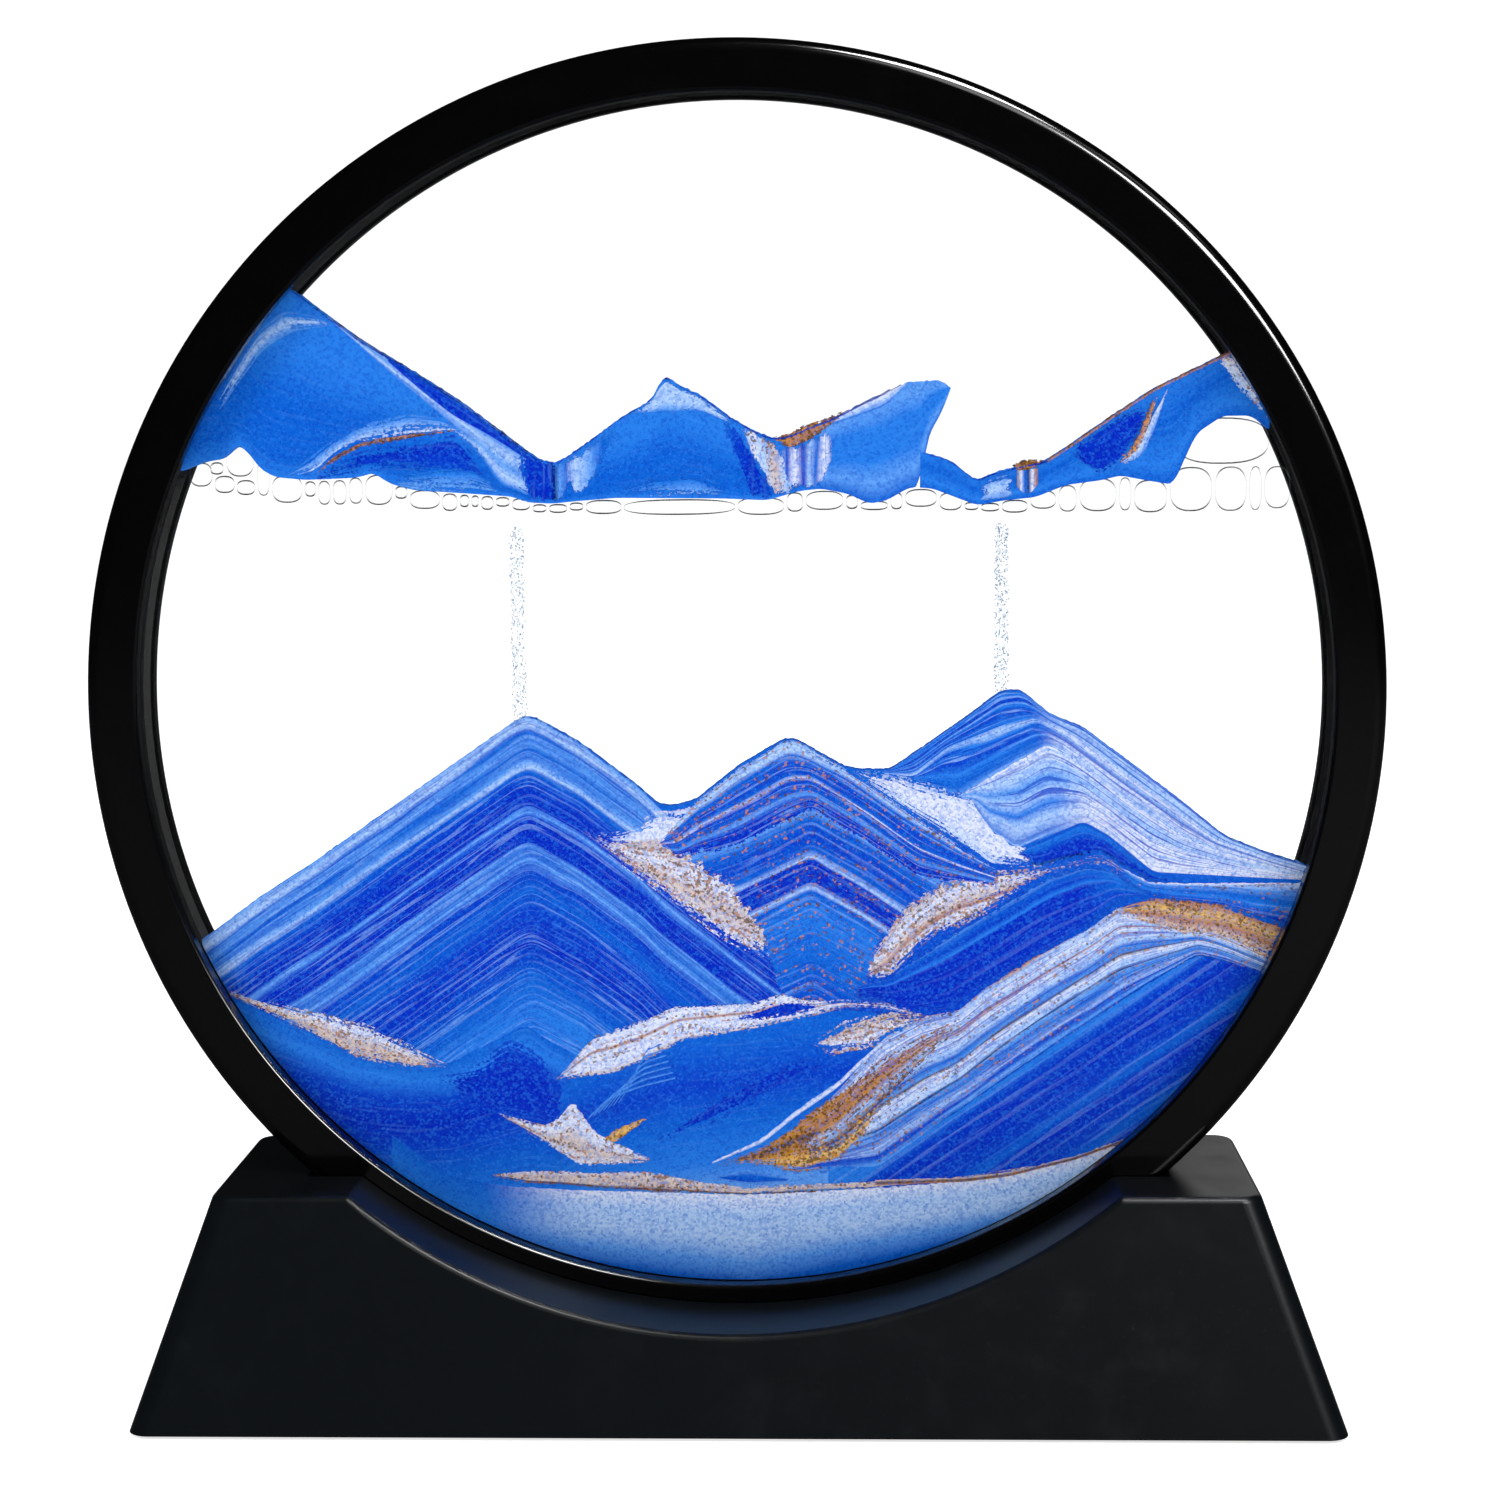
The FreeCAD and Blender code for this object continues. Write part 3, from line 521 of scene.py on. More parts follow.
slopeLayers = dict(
    leftFront=dict(
        top=[(-79, -37.5), (-72, -40), (-60, -45.5), (-53, -49), (-45, -50.5), (-40, -50.5),
             (-34, -47.5), (-29, -45), (-25.5, -47.5), (-21, -50)],
        bottom=[(-79, -85), (-21, -85)], guide=[(-79, -70), (-50, -72), (-21, -69)], span=24,
        bands=bands("mid", 0.12, "azure", 0.25, "royal", 0.42, "deep", 0.55, "royal", 0.75, "mid",
                    "azure"),
        streaks=(0.12, 0.3)),
    shadowHeart=dict(
        top=[(-41, -52), (-36, -50), (-31.5, -45.8), (-28, -47.5), (-24, -52)],
        bottom=[(-41, -53), (-34, -58.5), (-27, -60), (-24, -58)], span=12, ease=3.0,
        bands=bands("azure", 0.12, "royal", 0.35, "deep", 0.75, "deep", "royal"),
        streaks=(0.1, 0.15)),
    foreground=dict(
        top=[(-25, -52.8), (-20, -48), (-13.5, -46), (-8.5, -44), (2.5, -43.5), (15, -42.6),
             (22, -43.6), (27, -44)],
        bottom=[(-25, -69), (27, -69)], guide=[(-25, -72), (27, -63)], ease=0.6, span=22,
        bands=bands("mid", 0.15, "mid", 0.4, "royal", 0.6, "mid", 0.85, "azure", "sky"),
        streaks=(0.22, 0.25)),
    shadowStreak=dict(
        top=[(-12, -61.5), (-4, -55.5), (3, -51), (9.5, -48.8), (14, -50.2)],
        bottom=[(-12, -62), (-4, -60), (4, -56.5), (9.5, -53), (14, -50.6)], span=6, ease=3.0,
        bands=bands("mid", 0.3, "deep", 0.6, "deep", "mid"), streaks=(0.15, 0.2)),
    ribbons=dict(
        top=[(6, -62), (14, -54), (20, -47), (25.5, -44.2), (30.5, -43), (34, -40), (41, -35.5),
             (49, -31), (52.5, -28.5), (57, -29.5), (65, -31.5), (79, -38)],
        bottom=[(6, -66), (19.5, -66), (28.5, -58.8), (43.5, -48.3), (55.5, -40.2), (63, -35.6),
                (67, -36.5), (79, -41)], ease=0.5, comb=(1.25, 0.6), span=15,
        bands=bands(0, "bronze", 0.03, "pale", 0.14, "lilac", 0.2, "pale", 0.23, "bronze",
                    0.26, "lilac", 0.36, "pale", 0.42, "mid", 0.47, "sky", 0.5, "umber",
                    0.53, "lilac", 0.64, "pale", 0.67, "night", 0.7, "sky", 0.78, "mid",
                    0.82, "pale", 0.88, "royal", 0.92, "sky", 0.96, "mid", "deep"),
        streaks=(0.7, 0.7), flecks=0.12),
    deepBand=dict(
        top=[(16.5, -39.6), (21, -38.6), (23, -36.8), (33, -30.5), (43, -24.6), (48, -23),
             (51, -23.6), (54, -25.6), (56.5, -26.8)],
        bottom=[(16.5, -41.5), (19, -41.5), (23.5, -43.5), (29, -43), (34, -40), (41, -35.5),
                (49, -31), (52, -28), (56.5, -27)], ease=0.5, comb=(2.6, 0.12), span=11,
        bands=bands("sky", 0.07, "mid", 0.2, "royal", 0.27, "azure", 0.31, "deep", 0.9, "deep",
                    "royal"),
        farBands=bands("azure", "mid", "mid", "royal", "mid"), turn=(46, 53),
        streaks=(0.16, 0.25)),
    deepSlope=dict(
        top=[(12.5, -65), (19.5, -65), (28.5, -58.5), (43.5, -48), (55.5, -40), (63, -35.5),
             (67, -36.5), (71, -37.5), (79, -40)],
        bottom=[(12.5, -69), (30, -69), (79, -85)],
        guides=([(12.5, -69.6), (63, -35.5), (79, -24.5)],
                [(12.5, -97.6), (63, -63.5), (79, -52.5)]), comb=(2.2, 0.22), span=28,
        bands=bands(0, "azure", 0.05, "royal", 0.16, "deep", 0.3, "royal", 0.36, "mid",
                    0.41, "deep", 0.55, "royal", 0.62, "mid", 0.66, "deep", 0.78, "royal",
                    0.86, "mid", "azure"),
        streaks=(0.5, 0.3)),
    bronzeWall=dict(
        top=[(51, -29.5), (54, -28), (57, -27.1), (59.5, -27.3), (67, -28.4), (79, -32.4)],
        bottom=[(51, -29.8), (57, -31.5), (61, -33), (65, -33), (69, -34.4), (79, -39.5)],
        ease=1.0, span=6,
        bands=bands("umber", 0.14, "bronze", 0.35, "straw", 0.6, "bronze", 0.8, "rose", "straw"),
        streaks=(0.3, 0.35), flecks=0.7),
)

goldLayers = dict(
    goldEdge=dict(
        top=[(-3.5, -64.3), (3.5, -61), (8, -57.2), (14, -53), (16.5, -50.5), (20, -47.5)],
        bottom=[(-3.5, -64.6), (3.5, -61.7), (8, -58), (14, -53.8), (16.5, -51.3), (20, -48)],
        span=1, bands=bands("pale", "lilac", "sky"), streaks=(0.2, 0.1)),
    goldWedge=dict(
        top=[(-3, -64.6), (3, -62.2), (8, -58.8), (14, -54.4), (17.5, -51.8), (22.5, -50)],
        bottom=[(-3, -65), (1.5, -64.8), (9, -65.8), (13.5, -64.8), (17.5, -61), (22.5, -50.6)],
        ease=1.1, span=8, bands=bands("gold", "gold", "umber", "gold", "straw", "gold"),
        streaks=(0.1, 0.3), flecks=0.85, glint=True),
    goldHaze=dict(
        top=[(9, -59.5), (14, -55), (20, -49.4), (25, -46.5), (31, -44)],
        bottom=[(9, -64.8), (14, -63), (20, -57.5), (25, -51.8), (31, -45.6)], span=8, ease=2.4,
        comb=(1.3, 0.5), bands=bands("gold", "bronze", "gold", "pale", "umber", "pale"),
        streaks=(0.4, 0.4), flecks=0.75, glint=True),
    goldPinch=dict(
        top=[(-20, -62.2), (-17, -59.3), (-13, -57.8), (-12, -58.2)],
        bottom=[(-20, -62.9), (-17, -62), (-13, -58.8), (-12, -58.3)], ease=0.5, span=2,
        bands=bands("gold", "straw", "gold"), flecks=0.7, glint=True),
)

paleLayers = dict(
    bed=dict(
        top=[(-48, -60.5), (-41, -66), (-32.5, -67.8), (-22, -68.4), (-16.5, -68.5), (1.5, -69),
             (19.5, -68), (31.5, -67), (37.5, -66.3), (46.5, -64), (54, -61.3), (66, -52)],
        bottom=[(-48, -85), (66, -85)], guide=[(-48, -75), (1.5, -83), (66, -68)], span=14,
        bands=bands("mid", 0.5, "azure", 0.9, "mid", "mid"),
        farBands=bands("lilac", 0.2, "pale", 0.45, "pale", 0.7, "sky", 0.92, "mid", "mid"),
        turn=(-36, -20), streaks=(0.1, 0.1)),
    leftSeam=dict(
        top=[(-73.5, -38.7), (-67, -40.8), (-57.5, -43), (-50.5, -45), (-45.5, -47.5),
             (-40, -50.6)],
        bottom=[(-73.5, -39.2), (-60, -46), (-53, -49.5), (-45.5, -51.2), (-40, -51)],
        ease=1.2, span=5,
        bands=bands("lilac", "lilac", 0.6, "rose", "rose"), streaks=(0.1, 0.15), flecks=0.42),
    ridge=dict(
        top=[(-25, -52.6), (-20, -46.6), (-13.5, -44.5), (-8.5, -42.2), (2.5, -41.6), (6, -40.4),
             (10.5, -41.5), (15, -41.5), (21, -42), (26, -43.6), (30.5, -42.9)],
        bottom=[(-25, -52.8), (-17, -52), (-12, -50), (-7.5, -47.5), (-4.5, -47), (3.5, -45.6),
                (11.5, -43.6), (15, -42.6), (21, -43), (26, -44.4), (30.5, -43.3)],
        ease=0.8, span=5,
        bands=bands("lilac", 0.34, "lilac", 0.4, "bronze", 0.46, "lilac", 0.8, "lilac", "rose"),
        streaks=(0.15, 0.25), flecks=0.28),
    eye=dict(
        top=[(-1, -44.2), (3, -42.8), (6, -41.7), (9, -41.7), (12, -42.3)],
        bottom=[(-1, -44.3), (3.5, -44.8), (7.5, -44), (12, -42.6)], ease=0.7, span=3,
        bands=bands("royal", "deep", "deep", "mid"), streaks=(0.1, 0.1)),
    patch=dict(
        top=[(10.5, -47.5), (15, -44), (21, -42.4), (27, -43.9)],
        bottom=[(10.5, -47.8), (13, -49.5), (17.5, -49.5), (22, -46.4), (27, -44.3)],
        ease=2.2, span=5,
        bands=bands("lilac", "rose", "lilac", "rose"), streaks=(0.1, 0.2), flecks=0.55),
    veeLight=dict(
        top=[(-33, -57.4), (-26.5, -59), (-24, -57.3), (-23, -55), (-19.5, -60), (-12, -63.8)],
        bottom=[(-33, -57.7), (-27, -61.5), (-22, -65), (-12, -64.4)], span=4, ease=0.6,
        bands=bands("lilac", "lilac", "rose", "lilac"), flecks=0.4, streaks=(0.1, 0.2)),
    **{"curl%d" % turn: dict(
        top=[(-20.6 + 0.7 * turn, -58 + 0.35 * turn), (-17.8 + 0.7 * turn, -55.2 + 0.6 * turn),
             (-13, -53.4 + 0.8 * turn), (-8.5 - 0.3 * turn, -52.4 + 0.8 * turn)],
        bottom=[(-20.6 + 0.7 * turn, -58.2 + 0.35 * turn), (-17.8 + 0.7 * turn, -55.5 + 0.6 * turn),
                (-13, -53.7 + 0.8 * turn), (-8.5 - 0.3 * turn, -52.6 + 0.8 * turn)],
        span=1, bands=bands("azure", "sky", "azure"), streaks=(0.0, 0.5))
       for turn in range(7)},
    seam=dict(
        top=[(-34, -66), (-27, -65.4), (-12.5, -65.6), (-4.5, -67), (1.5, -67.6), (19.5, -67),
             (31.5, -66.3), (40, -64.9)],
        bottom=[(-34, -66.3), (-29, -67.4), (-22, -68), (-16.5, -68.5), (1.5, -69.1),
                (19.5, -68.1), (31.5, -67.1), (40, -65.6)], ease=0.5, span=2,
        bands=bands("lilac", 0.4, "rose", 0.72, "rose", 0.82, "umber", "bronze"),
        streaks=(0.2, 0.2), flecks=0.4),
    brownThread=dict(
        top=[(19, -66.9), (31.5, -66.5), (37.5, -65.8), (46.5, -63.5), (54, -60.8), (58, -58)],
        bottom=[(19, -67.6), (31.5, -67.1), (37.5, -66.3), (46.5, -64), (54, -61.2),
                (58, -58.3)], span=1, bands=bands("rose", "umber", "bronze"), flecks=0.3),
    blueLens=dict(
        top=[(-2.5, -66.4), (1.5, -65.3), (7, -66.7)],
        bottom=[(-2.5, -66.6), (1.5, -67.2), (7, -66.9)], span=2,
        bands=bands("sky", "mid", "royal"), streaks=(0.2, 0.1)),
)

hangLeftTop = [
    (-62, 57.5), (-58, 55), (-53, 51.2), (-50, 49), (-43.5, 45), (-36.5, 40.5), (-31.5, 36.7),
    (-28, 34), (-26, 32.6), (-23.5, 32), (-22, 33), (-18.5, 35.3), (-15, 37.9), (-10.7, 40.3),
    (-9.7, 41.6), (-9.2, 43.6), (-8.5, 43.5), (-7, 42.4), (-4, 41), (0, 38), (4, 35.7), (6, 35.1),
    (8, 35.4), (10.5, 36.5), (13.5, 37.5), (17.5, 39.5), (21, 41.1),
]
hangRightTop = [
    (25.5, 33.2), (29.5, 32), (33, 29.2), (35, 30.1), (38.5, 31), (42, 31.6), (45, 33.5),
    (51, 37.6), (57, 41.4), (65, 45.2), (72, 48.5),
]
hangingLayers = dict(
    hangLeft=dict(
        top=[(-76, 64), *hangLeftTop], bottom=between(rowTop, -76, 21), span=24,
        bands=bands("azure", 0.3, "azure", 0.6, "mid", 0.9, "mid", "azure"), streaks=(0.06, 0.2)),
    hump=dict(
        top=[(12, 36.9), (13.5, 37.5), (17.5, 39.5), (21, 41.1), (24, 42.5), (28.5, 42.6),
             (29.6, 41.6)],
        bottom=[*between(rowTop, 12, 25.6), (26, 33), (26.6, 35.3), (28.5, 38.5),
                (29.6, 41.5)], span=14,
        bands=bands("sky", 0.12, "sky", 0.3, "azure", 0.6, "azure", 0.8, "sky", "mid"),
        streaks=(0.15, 0.2)),
    hangRight=dict(
        top=hangRightTop, bottom=between(rowTop, 25.5, 72), span=16,
        bands=bands("azure", 0.4, "mid", 0.8, "azure", "mid"), streaks=(0.06, 0.25)),
    wallGlow=dict(
        top=[(-69, 42), (-64, 50.5), (-60, 53.6), (-53, 51.6)],
        bottom=[(-69, 39), (-63, 46.5), (-58.5, 49.3), (-53, 50.6)], span=5, ease=2.0,
        bands=bands("azure", 0.3, "sky", 0.5, "pale", 0.7, "sky", "azure"), streaks=(0.05, 0.1)),
    wallPale=dict(
        top=[(-75, 36), (-71.5, 41.5), (-68.5, 43)],
        bottom=[(-75, 32), (-71.5, 37), (-68.5, 42)], span=3, ease=1.5,
        bands=bands("pale", "pale", "azure"), streaks=(0.05, 0.05)),
    paleFlank=dict(
        top=between(hangLeftTop, -54, -27.5),
        bottom=[(-54, 51.8), (-46, 44.6), (-37.5, 37.4), (-33, 34), (-27.5, 31)], span=4,
        bands=bands("night", 0.1, "pale", 0.45, "sky", 0.7, "pale", "azure"),
        streaks=(0.6, 0.5)),
    navyStreak=dict(
        top=lowered(between(hangLeftTop, -46, -27.5), 0.15),
        bottom=[(-46, 45.9), (-41.5, 41.9), (-37.5, 38.7), (-32, 35.6), (-27.5, 32.6)], span=3,
        bands=bands("night", 0.2, "royal", 0.5, "deep", "deep"), streaks=(0.3, 0.4)),
    lobe=dict(
        top=[(-61, 30.4), (-55, 35.2), (-50, 38.2), (-43.5, 40), (-39, 39), (-36.5, 37)],
        bottom=[(-61, 30), (-56, 30.9), (-54, 33), (-50, 35), (-43.5, 36), (-36.5, 36.6)],
        span=5, ease=2.0, bands=bands("mid", 0.2, "azure", 0.5, "sky", 0.8, "pale", "lilac"),
        streaks=(0.1, 0.1)),
    bronzeStreak=dict(
        top=[(-56.5, 30.6), (-54, 33.2), (-50, 35.2), (-43.5, 36.2), (-37, 37)],
        bottom=[(-56.5, 30.2), (-54, 32.2), (-50, 34.2), (-43.5, 35.1), (-37, 36.2)], span=1,
        ease=0.5, bands=bands("bronze", "umber", "bronze"), flecks=0.8),
    deepLobe=dict(
        top=[(-56, 30.6), (-54, 32.2), (-50, 34.2), (-43.5, 35.1), (-37, 36.2), (-33, 31)],
        bottom=[(-56, 30), (-51, 30.3), (-46.5, 31), (-40, 30.4), (-33, 29.5)], span=5,
        bands=bands("royal", 0.3, "deep", 0.7, "royal", "mid"), streaks=(0.15, 0.3), ease=2.0),
    lowerPale=dict(
        top=[(-45, 31), (-40, 32.2), (-35, 32.6), (-31, 30)],
        bottom=between(rowTop, -45, -31), span=4, ease=2.0,
        bands=bands("mid", 0.4, "azure", 0.7, "sky", "sky"), streaks=(0.2, 0.1)),
    stream=dict(
        top=[(-37.5, 37.6), (-32.5, 35.8), (-29, 33.8), (-26.5, 30)],
        bottom=[(-37.5, 36), (-34, 33), (-31, 27.8), (-26.5, 26.6)], span=6, ease=1.5,
        bands=bands("azure", "pale", 0.4, "sky", 0.6, "pale", 0.8, "azure", "mid"),
        streaks=(0.4, 0.3)),
    valleyDeep=dict(
        top=between(hangLeftTop, -28.6, -21.6),
        bottom=[(-28.6, 31), (-27.6, 27.2), (-24.2, 26.6), (-22.6, 27), (-21.6, 30)], span=6,
        ease=0.8, upright=True,
        bands=bands("mid", 0.2, "deep", 0.6, "deep", 0.7, "night", 0.78, "sky", "royal"),
        streaks=(0.3, 0.5)),
    lumpEdge=dict(
        top=lowered(between(hangLeftTop, -22.4, -15), 0.5), bottom=[(-22.4, 29), (-20, 27.4),
        (-18.4, 30), (-15, 36)], span=5, ease=1.0, upright=True,
        bands=bands("royal", 0.2, "pale", 0.5, "sky", 0.7, "mid", "azure"), streaks=(0.5, 0.4)),
    lumpCap=dict(
        top=between(hangLeftTop, -13, 0), bottom=[(-13, 38.6), (-9, 38.4), (-4, 38.4), (0, 37)],
        span=3, ease=0.8, bands=bands("pale", 0.6, "pale", 0.85, "sky", "azure"),
        streaks=(0.1, 0.1)),
    lumpFoot=dict(
        top=[(-16, 28), (-11, 30.2), (-5, 31.4), (-1, 29.5)], bottom=between(rowTop, -16, -1),
        span=3, ease=2.0, bands=bands("mid", 0.4, "azure", 0.7, "sky", "pale"),
        streaks=(0.15, 0.1)),
    darkFall=dict(
        top=[(-1, 37.6), (1, 36.8), (3.6, 31.5), (6, 27.4)],
        bottom=[(-1, 36.5), (1, 32), (2.8, 27), (6, 26.9)], span=4, ease=1.0, upright=True,
        bands=bands("mid", "royal", "deep", "deep", "mid"), streaks=(0.2, 0.3)),
    paleFall=dict(
        top=[(1.2, 37), (4, 35.7), (7, 33.6), (9, 29.5)],
        bottom=[(1.2, 36.6), (3.8, 31.3), (6, 27.2), (9, 28)], span=6, ease=1.0, upright=True,
        bands=bands("sky", "lilac", "pale", "rose", "pale", "azure"), streaks=(0.5, 0.3),
        flecks=0.15),
    drips=dict(
        top=[(6.4, 34.6), (8.5, 34), (11, 35), (14, 36.4)],
        bottom=[(6.4, 30.5), (8.6, 28.2), (12, 28.5), (14, 32)], span=8, ease=0.8, upright=True,
        bands=bands("pale", "royal", "lilac", "deep", "pale", "mid", "lilac", "azure"),
        streaks=(0.6, 0.6)),
    humpRim=dict(
        top=[(14, 37.9), (17.5, 39.6), (21, 41.2), (23.5, 42.3)],
        bottom=[(14, 37), (17.5, 38.1), (21, 39.4), (23.5, 41.9)], span=2,
        bands=bands("night", 0.16, "lilac", 0.6, "pale", "azure"), streaks=(0.2, 0.5)),
    brownCap=dict(
        top=[(5.4, 35.2), (8, 35.9), (10.5, 37.3), (13.5, 38), (16, 39)],
        bottom=[(5.4, 34.9), (8, 33.4), (11, 34.9), (14.5, 37.3), (16, 38.8)], span=2, ease=0.5,
        bands=bands("umber", "bronze", "umber"), flecks=0.9, glint=True),
    valleyPale=dict(
        top=[(33.5, 29.2), (35.5, 29.9), (38, 30.4)], bottom=between(rowTop, 33.5, 38), span=3,
        ease=1.0, bands=bands("sky", "pale", "azure"), streaks=(0.3, 0.2)),
    goldSpot=dict(
        top=[(37.8, 31.1), (39.5, 32.1), (41.5, 31.9), (42.6, 31.9)],
        bottom=[(37.8, 30.8), (39.5, 30), (41, 30.6), (42.6, 31.7)], span=1, ease=0.5,
        bands=bands("umber", "gold", "umber"), flecks=0.9, glint=True),
    goldDrips=dict(
        top=[(38.4, 30.6), (39.6, 30.4), (41.2, 30.8)], bottom=[(38.4, 28.4), (39.8, 26.8),
        (41.2, 28.6)], span=3, upright=True,
        bands=bands("umber", "lilac", "mid", "night", "lilac", "bronze"), streaks=(0.5, 0.5)),
    deepPatch=dict(
        top=[(46, 33.6), (51, 36.9), (54.6, 39), (55.6, 38)],
        bottom=[(46, 32), (49.5, 29.6), (52.5, 32), (55.6, 37.2)], span=5, ease=0.8,
        bands=bands("royal", 0.3, "deep", 0.8, "deep", "royal"), streaks=(0.2, 0.2)),
    paleFault=dict(
        top=[(52.4, 31.6), (54.4, 33.2), (56.2, 37.5), (58.6, 41.6)],
        bottom=[(52.4, 30.8), (55.4, 32.2), (57.2, 37), (58.6, 41)], span=1.5, ease=0.8,
        bands=bands("lilac", "pale", "azure"), streaks=(0.2, 0.2)),
    bronzeFault=dict(
        top=[(52.2, 32.4), (54, 33.8), (55.4, 37.6), (57.2, 41.4)],
        bottom=[(52.2, 31.4), (54.8, 33), (56.3, 37.4), (57.2, 40.4)], span=1, ease=0.8,
        bands=bands("umber", "bronze", "rose"), flecks=0.7, glint=True),
    wallRose=dict(
        top=[(65, 45.1), (68, 46.4), (72, 40)], bottom=[(65, 44.6), (67.8, 40.8), (72, 36.8)],
        span=2, ease=1.0, bands=bands("rose", "lilac", "pale"), flecks=0.3),
    leftTopThread=dict(
        top=hangLeftTop, bottom=lowered(hangLeftTop, 0.32), span=1, ease=0.2,
        bands=bands("night", "deep", "night")),
    rightTopThread=dict(
        top=hangRightTop, bottom=lowered(hangRightTop, 0.32), span=1, ease=0.2,
        bands=bands("night", "deep", "night")),
    rustThread=dict(
        top=between(hangRightTop, 42.5, 70), bottom=lowered(between(hangRightTop, 42.5, 70), 0.45),
        span=1, bands=bands("umber", "bronze", "azure"), flecks=0.5),
)
sandGroups = dict(dune=duneLayers, slope=slopeLayers, gold=goldLayers, pale=paleLayers,
                  hanging=hangingLayers)
sandCut = dict(column=0.35, rows=5, rounding=1.1, crumble=0.05, thinnest=0.04, edge=0.2, ends=0.3,
               proud=0.006, film=0.04, tooth=2.1, toothTip=0.35, grain=0.3, clump=0.9)
layerTotal = sum(len(layers) for layers in sandGroups.values())


def evenedOut(heights, window):  # a moving average that keeps the ends where they are
    reach = round(window / sandCut["column"] / 2)
    if len(heights) <= reach + 1 or reach < 1:
        return heights
    padded = np.pad(heights, reach, mode="reflect", reflect_type="odd")
    return np.convolve(padded, np.ones(2 * reach + 1) / (2 * reach + 1), mode="valid")


def outlineHeights(points, xs):
    return evenedOut(np.interp(xs, *zip(*points)), sandCut["rounding"])


def teeth(xs, stretches, chance):  # pointed ends where layers run into each other
    depth = np.zeros(len(xs))
    for low, high, height in stretches:
        inside = (xs > low) & (xs < high)
        turns = (xs - low) / sandCut["tooth"]
        count = int((high - low) / sandCut["tooth"]) + 2
        sizes = np.array([chance.uniform(0.5, 1.2) for _ in range(count)])
        saw = np.abs(turns % 1 - sandCut["toothTip"]) * 1.5
        reach = saw * sizes[np.clip(turns.astype(int), 0, count - 1)] * height
        depth[inside] += reach[inside]
    return depth


def layerColumns(name, layer, sky):  # the x, top and bottom of each thin upright slice of a layer
    chance = random.Random(name)
    low = max(layer["top"][0][0], -cellRadius + sandCut["ends"])
    high = min(layer["top"][-1][0], cellRadius - sandCut["ends"])
    xs = np.linspace(low, high, max(4, round((high - low) / sandCut["column"])))
    crumbs = np.array([chance.gauss(0, sandCut["crumble"]) for _ in xs])
    top = outlineHeights(layer["top"], xs) + crumbs - teeth(xs, layer.get("frayTop", ()), chance)
    foot = outlineHeights(layer["bottom"], xs) + teeth(xs, layer.get("frayFoot", ()), chance)
    wall = np.sqrt((cellRadius - sandCut["edge"]) ** 2 - xs ** 2)
    if sky is not None:
        top = np.minimum(top, outlineHeights(sky, xs) + crumbs)
    return xs, np.minimum(top, wall), np.maximum(foot, -wall)


def layerFlow(layer, xs, heights, top, foot):  # along, across and in from the edge, in metres
    guides = layer.get("guides") or (layer["top"], layer.get("guide", layer["bottom"]))
    upper, lower = (outlineHeights(points, xs)[:, None] for points in guides)
    across = (upper - heights) / np.maximum(upper - lower, 0.05) * layer["span"]
    along = np.broadcast_to(xs[:, None], heights.shape)
    if layer.get("upright"):
        across = (along - xs[0]) / (xs[-1] - xs[0]) * layer["span"]
        along = heights
    ends = np.minimum(xs - xs[0], xs[-1] - xs)[:, None] + 0 * heights
    inward = np.minimum(np.minimum(top[:, None] - heights, heights - foot[:, None]), ends)
    return np.stack([along, across, inward], axis=-1) * mm


def slab(xs, heights, flow, half):  # a closed slab whose face has these columns and heights
    columns, rows = heights.shape
    sides = []
    for y in (-half, half):
        points = np.stack([xs[:, None] + 0 * heights, 0 * heights + y, heights], axis=-1)
        sides.append(points.reshape(-1, 3))
    front = np.arange(columns * rows).reshape(columns, rows)
    back = front + columns * rows
    a, b, c, d = front[:-1, :-1], front[1:, :-1], front[1:, 1:], front[:-1, 1:]
    quads = [np.stack(corners, axis=-1).reshape(-1, 4) for corners in (
        (d, c, b, a),
        (a + columns * rows, b + columns * rows, c + columns * rows, d + columns * rows),
        (front[:-1, 0], front[1:, 0], back[1:, 0], back[:-1, 0]),
        (front[1:, -1], front[:-1, -1], back[:-1, -1], back[1:, -1]),
        (front[0, :-1], back[0, :-1], back[0, 1:], front[0, 1:]),
        (front[-1, 1:], back[-1, 1:], back[-1, :-1], front[-1, :-1]))]
    flows = flow.reshape(-1, 3)
    return np.concatenate(sides) * mm, np.concatenate([flows, flows]), np.concatenate(quads)


def layerSlabs(name, layer, half, sky):  # one slab for each stretch where the layer has any depth
    xs, top, foot = layerColumns(name, layer, sky)
    deep = np.concatenate([[False], top - foot > sandCut["thinnest"], [False]])
    starts = np.flatnonzero(deep[1:] & ~deep[:-1])
    stops = np.flatnonzero(deep[:-1] & ~deep[1:])
    shares = np.linspace(0, 1, sandCut["rows"])
    for start, stop in zip(starts, stops):
        if stop - start < 3:
            continue
        cut = slice(start, stop)
        heights = top[cut, None] + (foot[cut] - top[cut])[:, None] * shares
        flow = layerFlow(layer, xs[cut], heights, top[cut], foot[cut])
        yield slab(xs[cut], heights, flow, half)


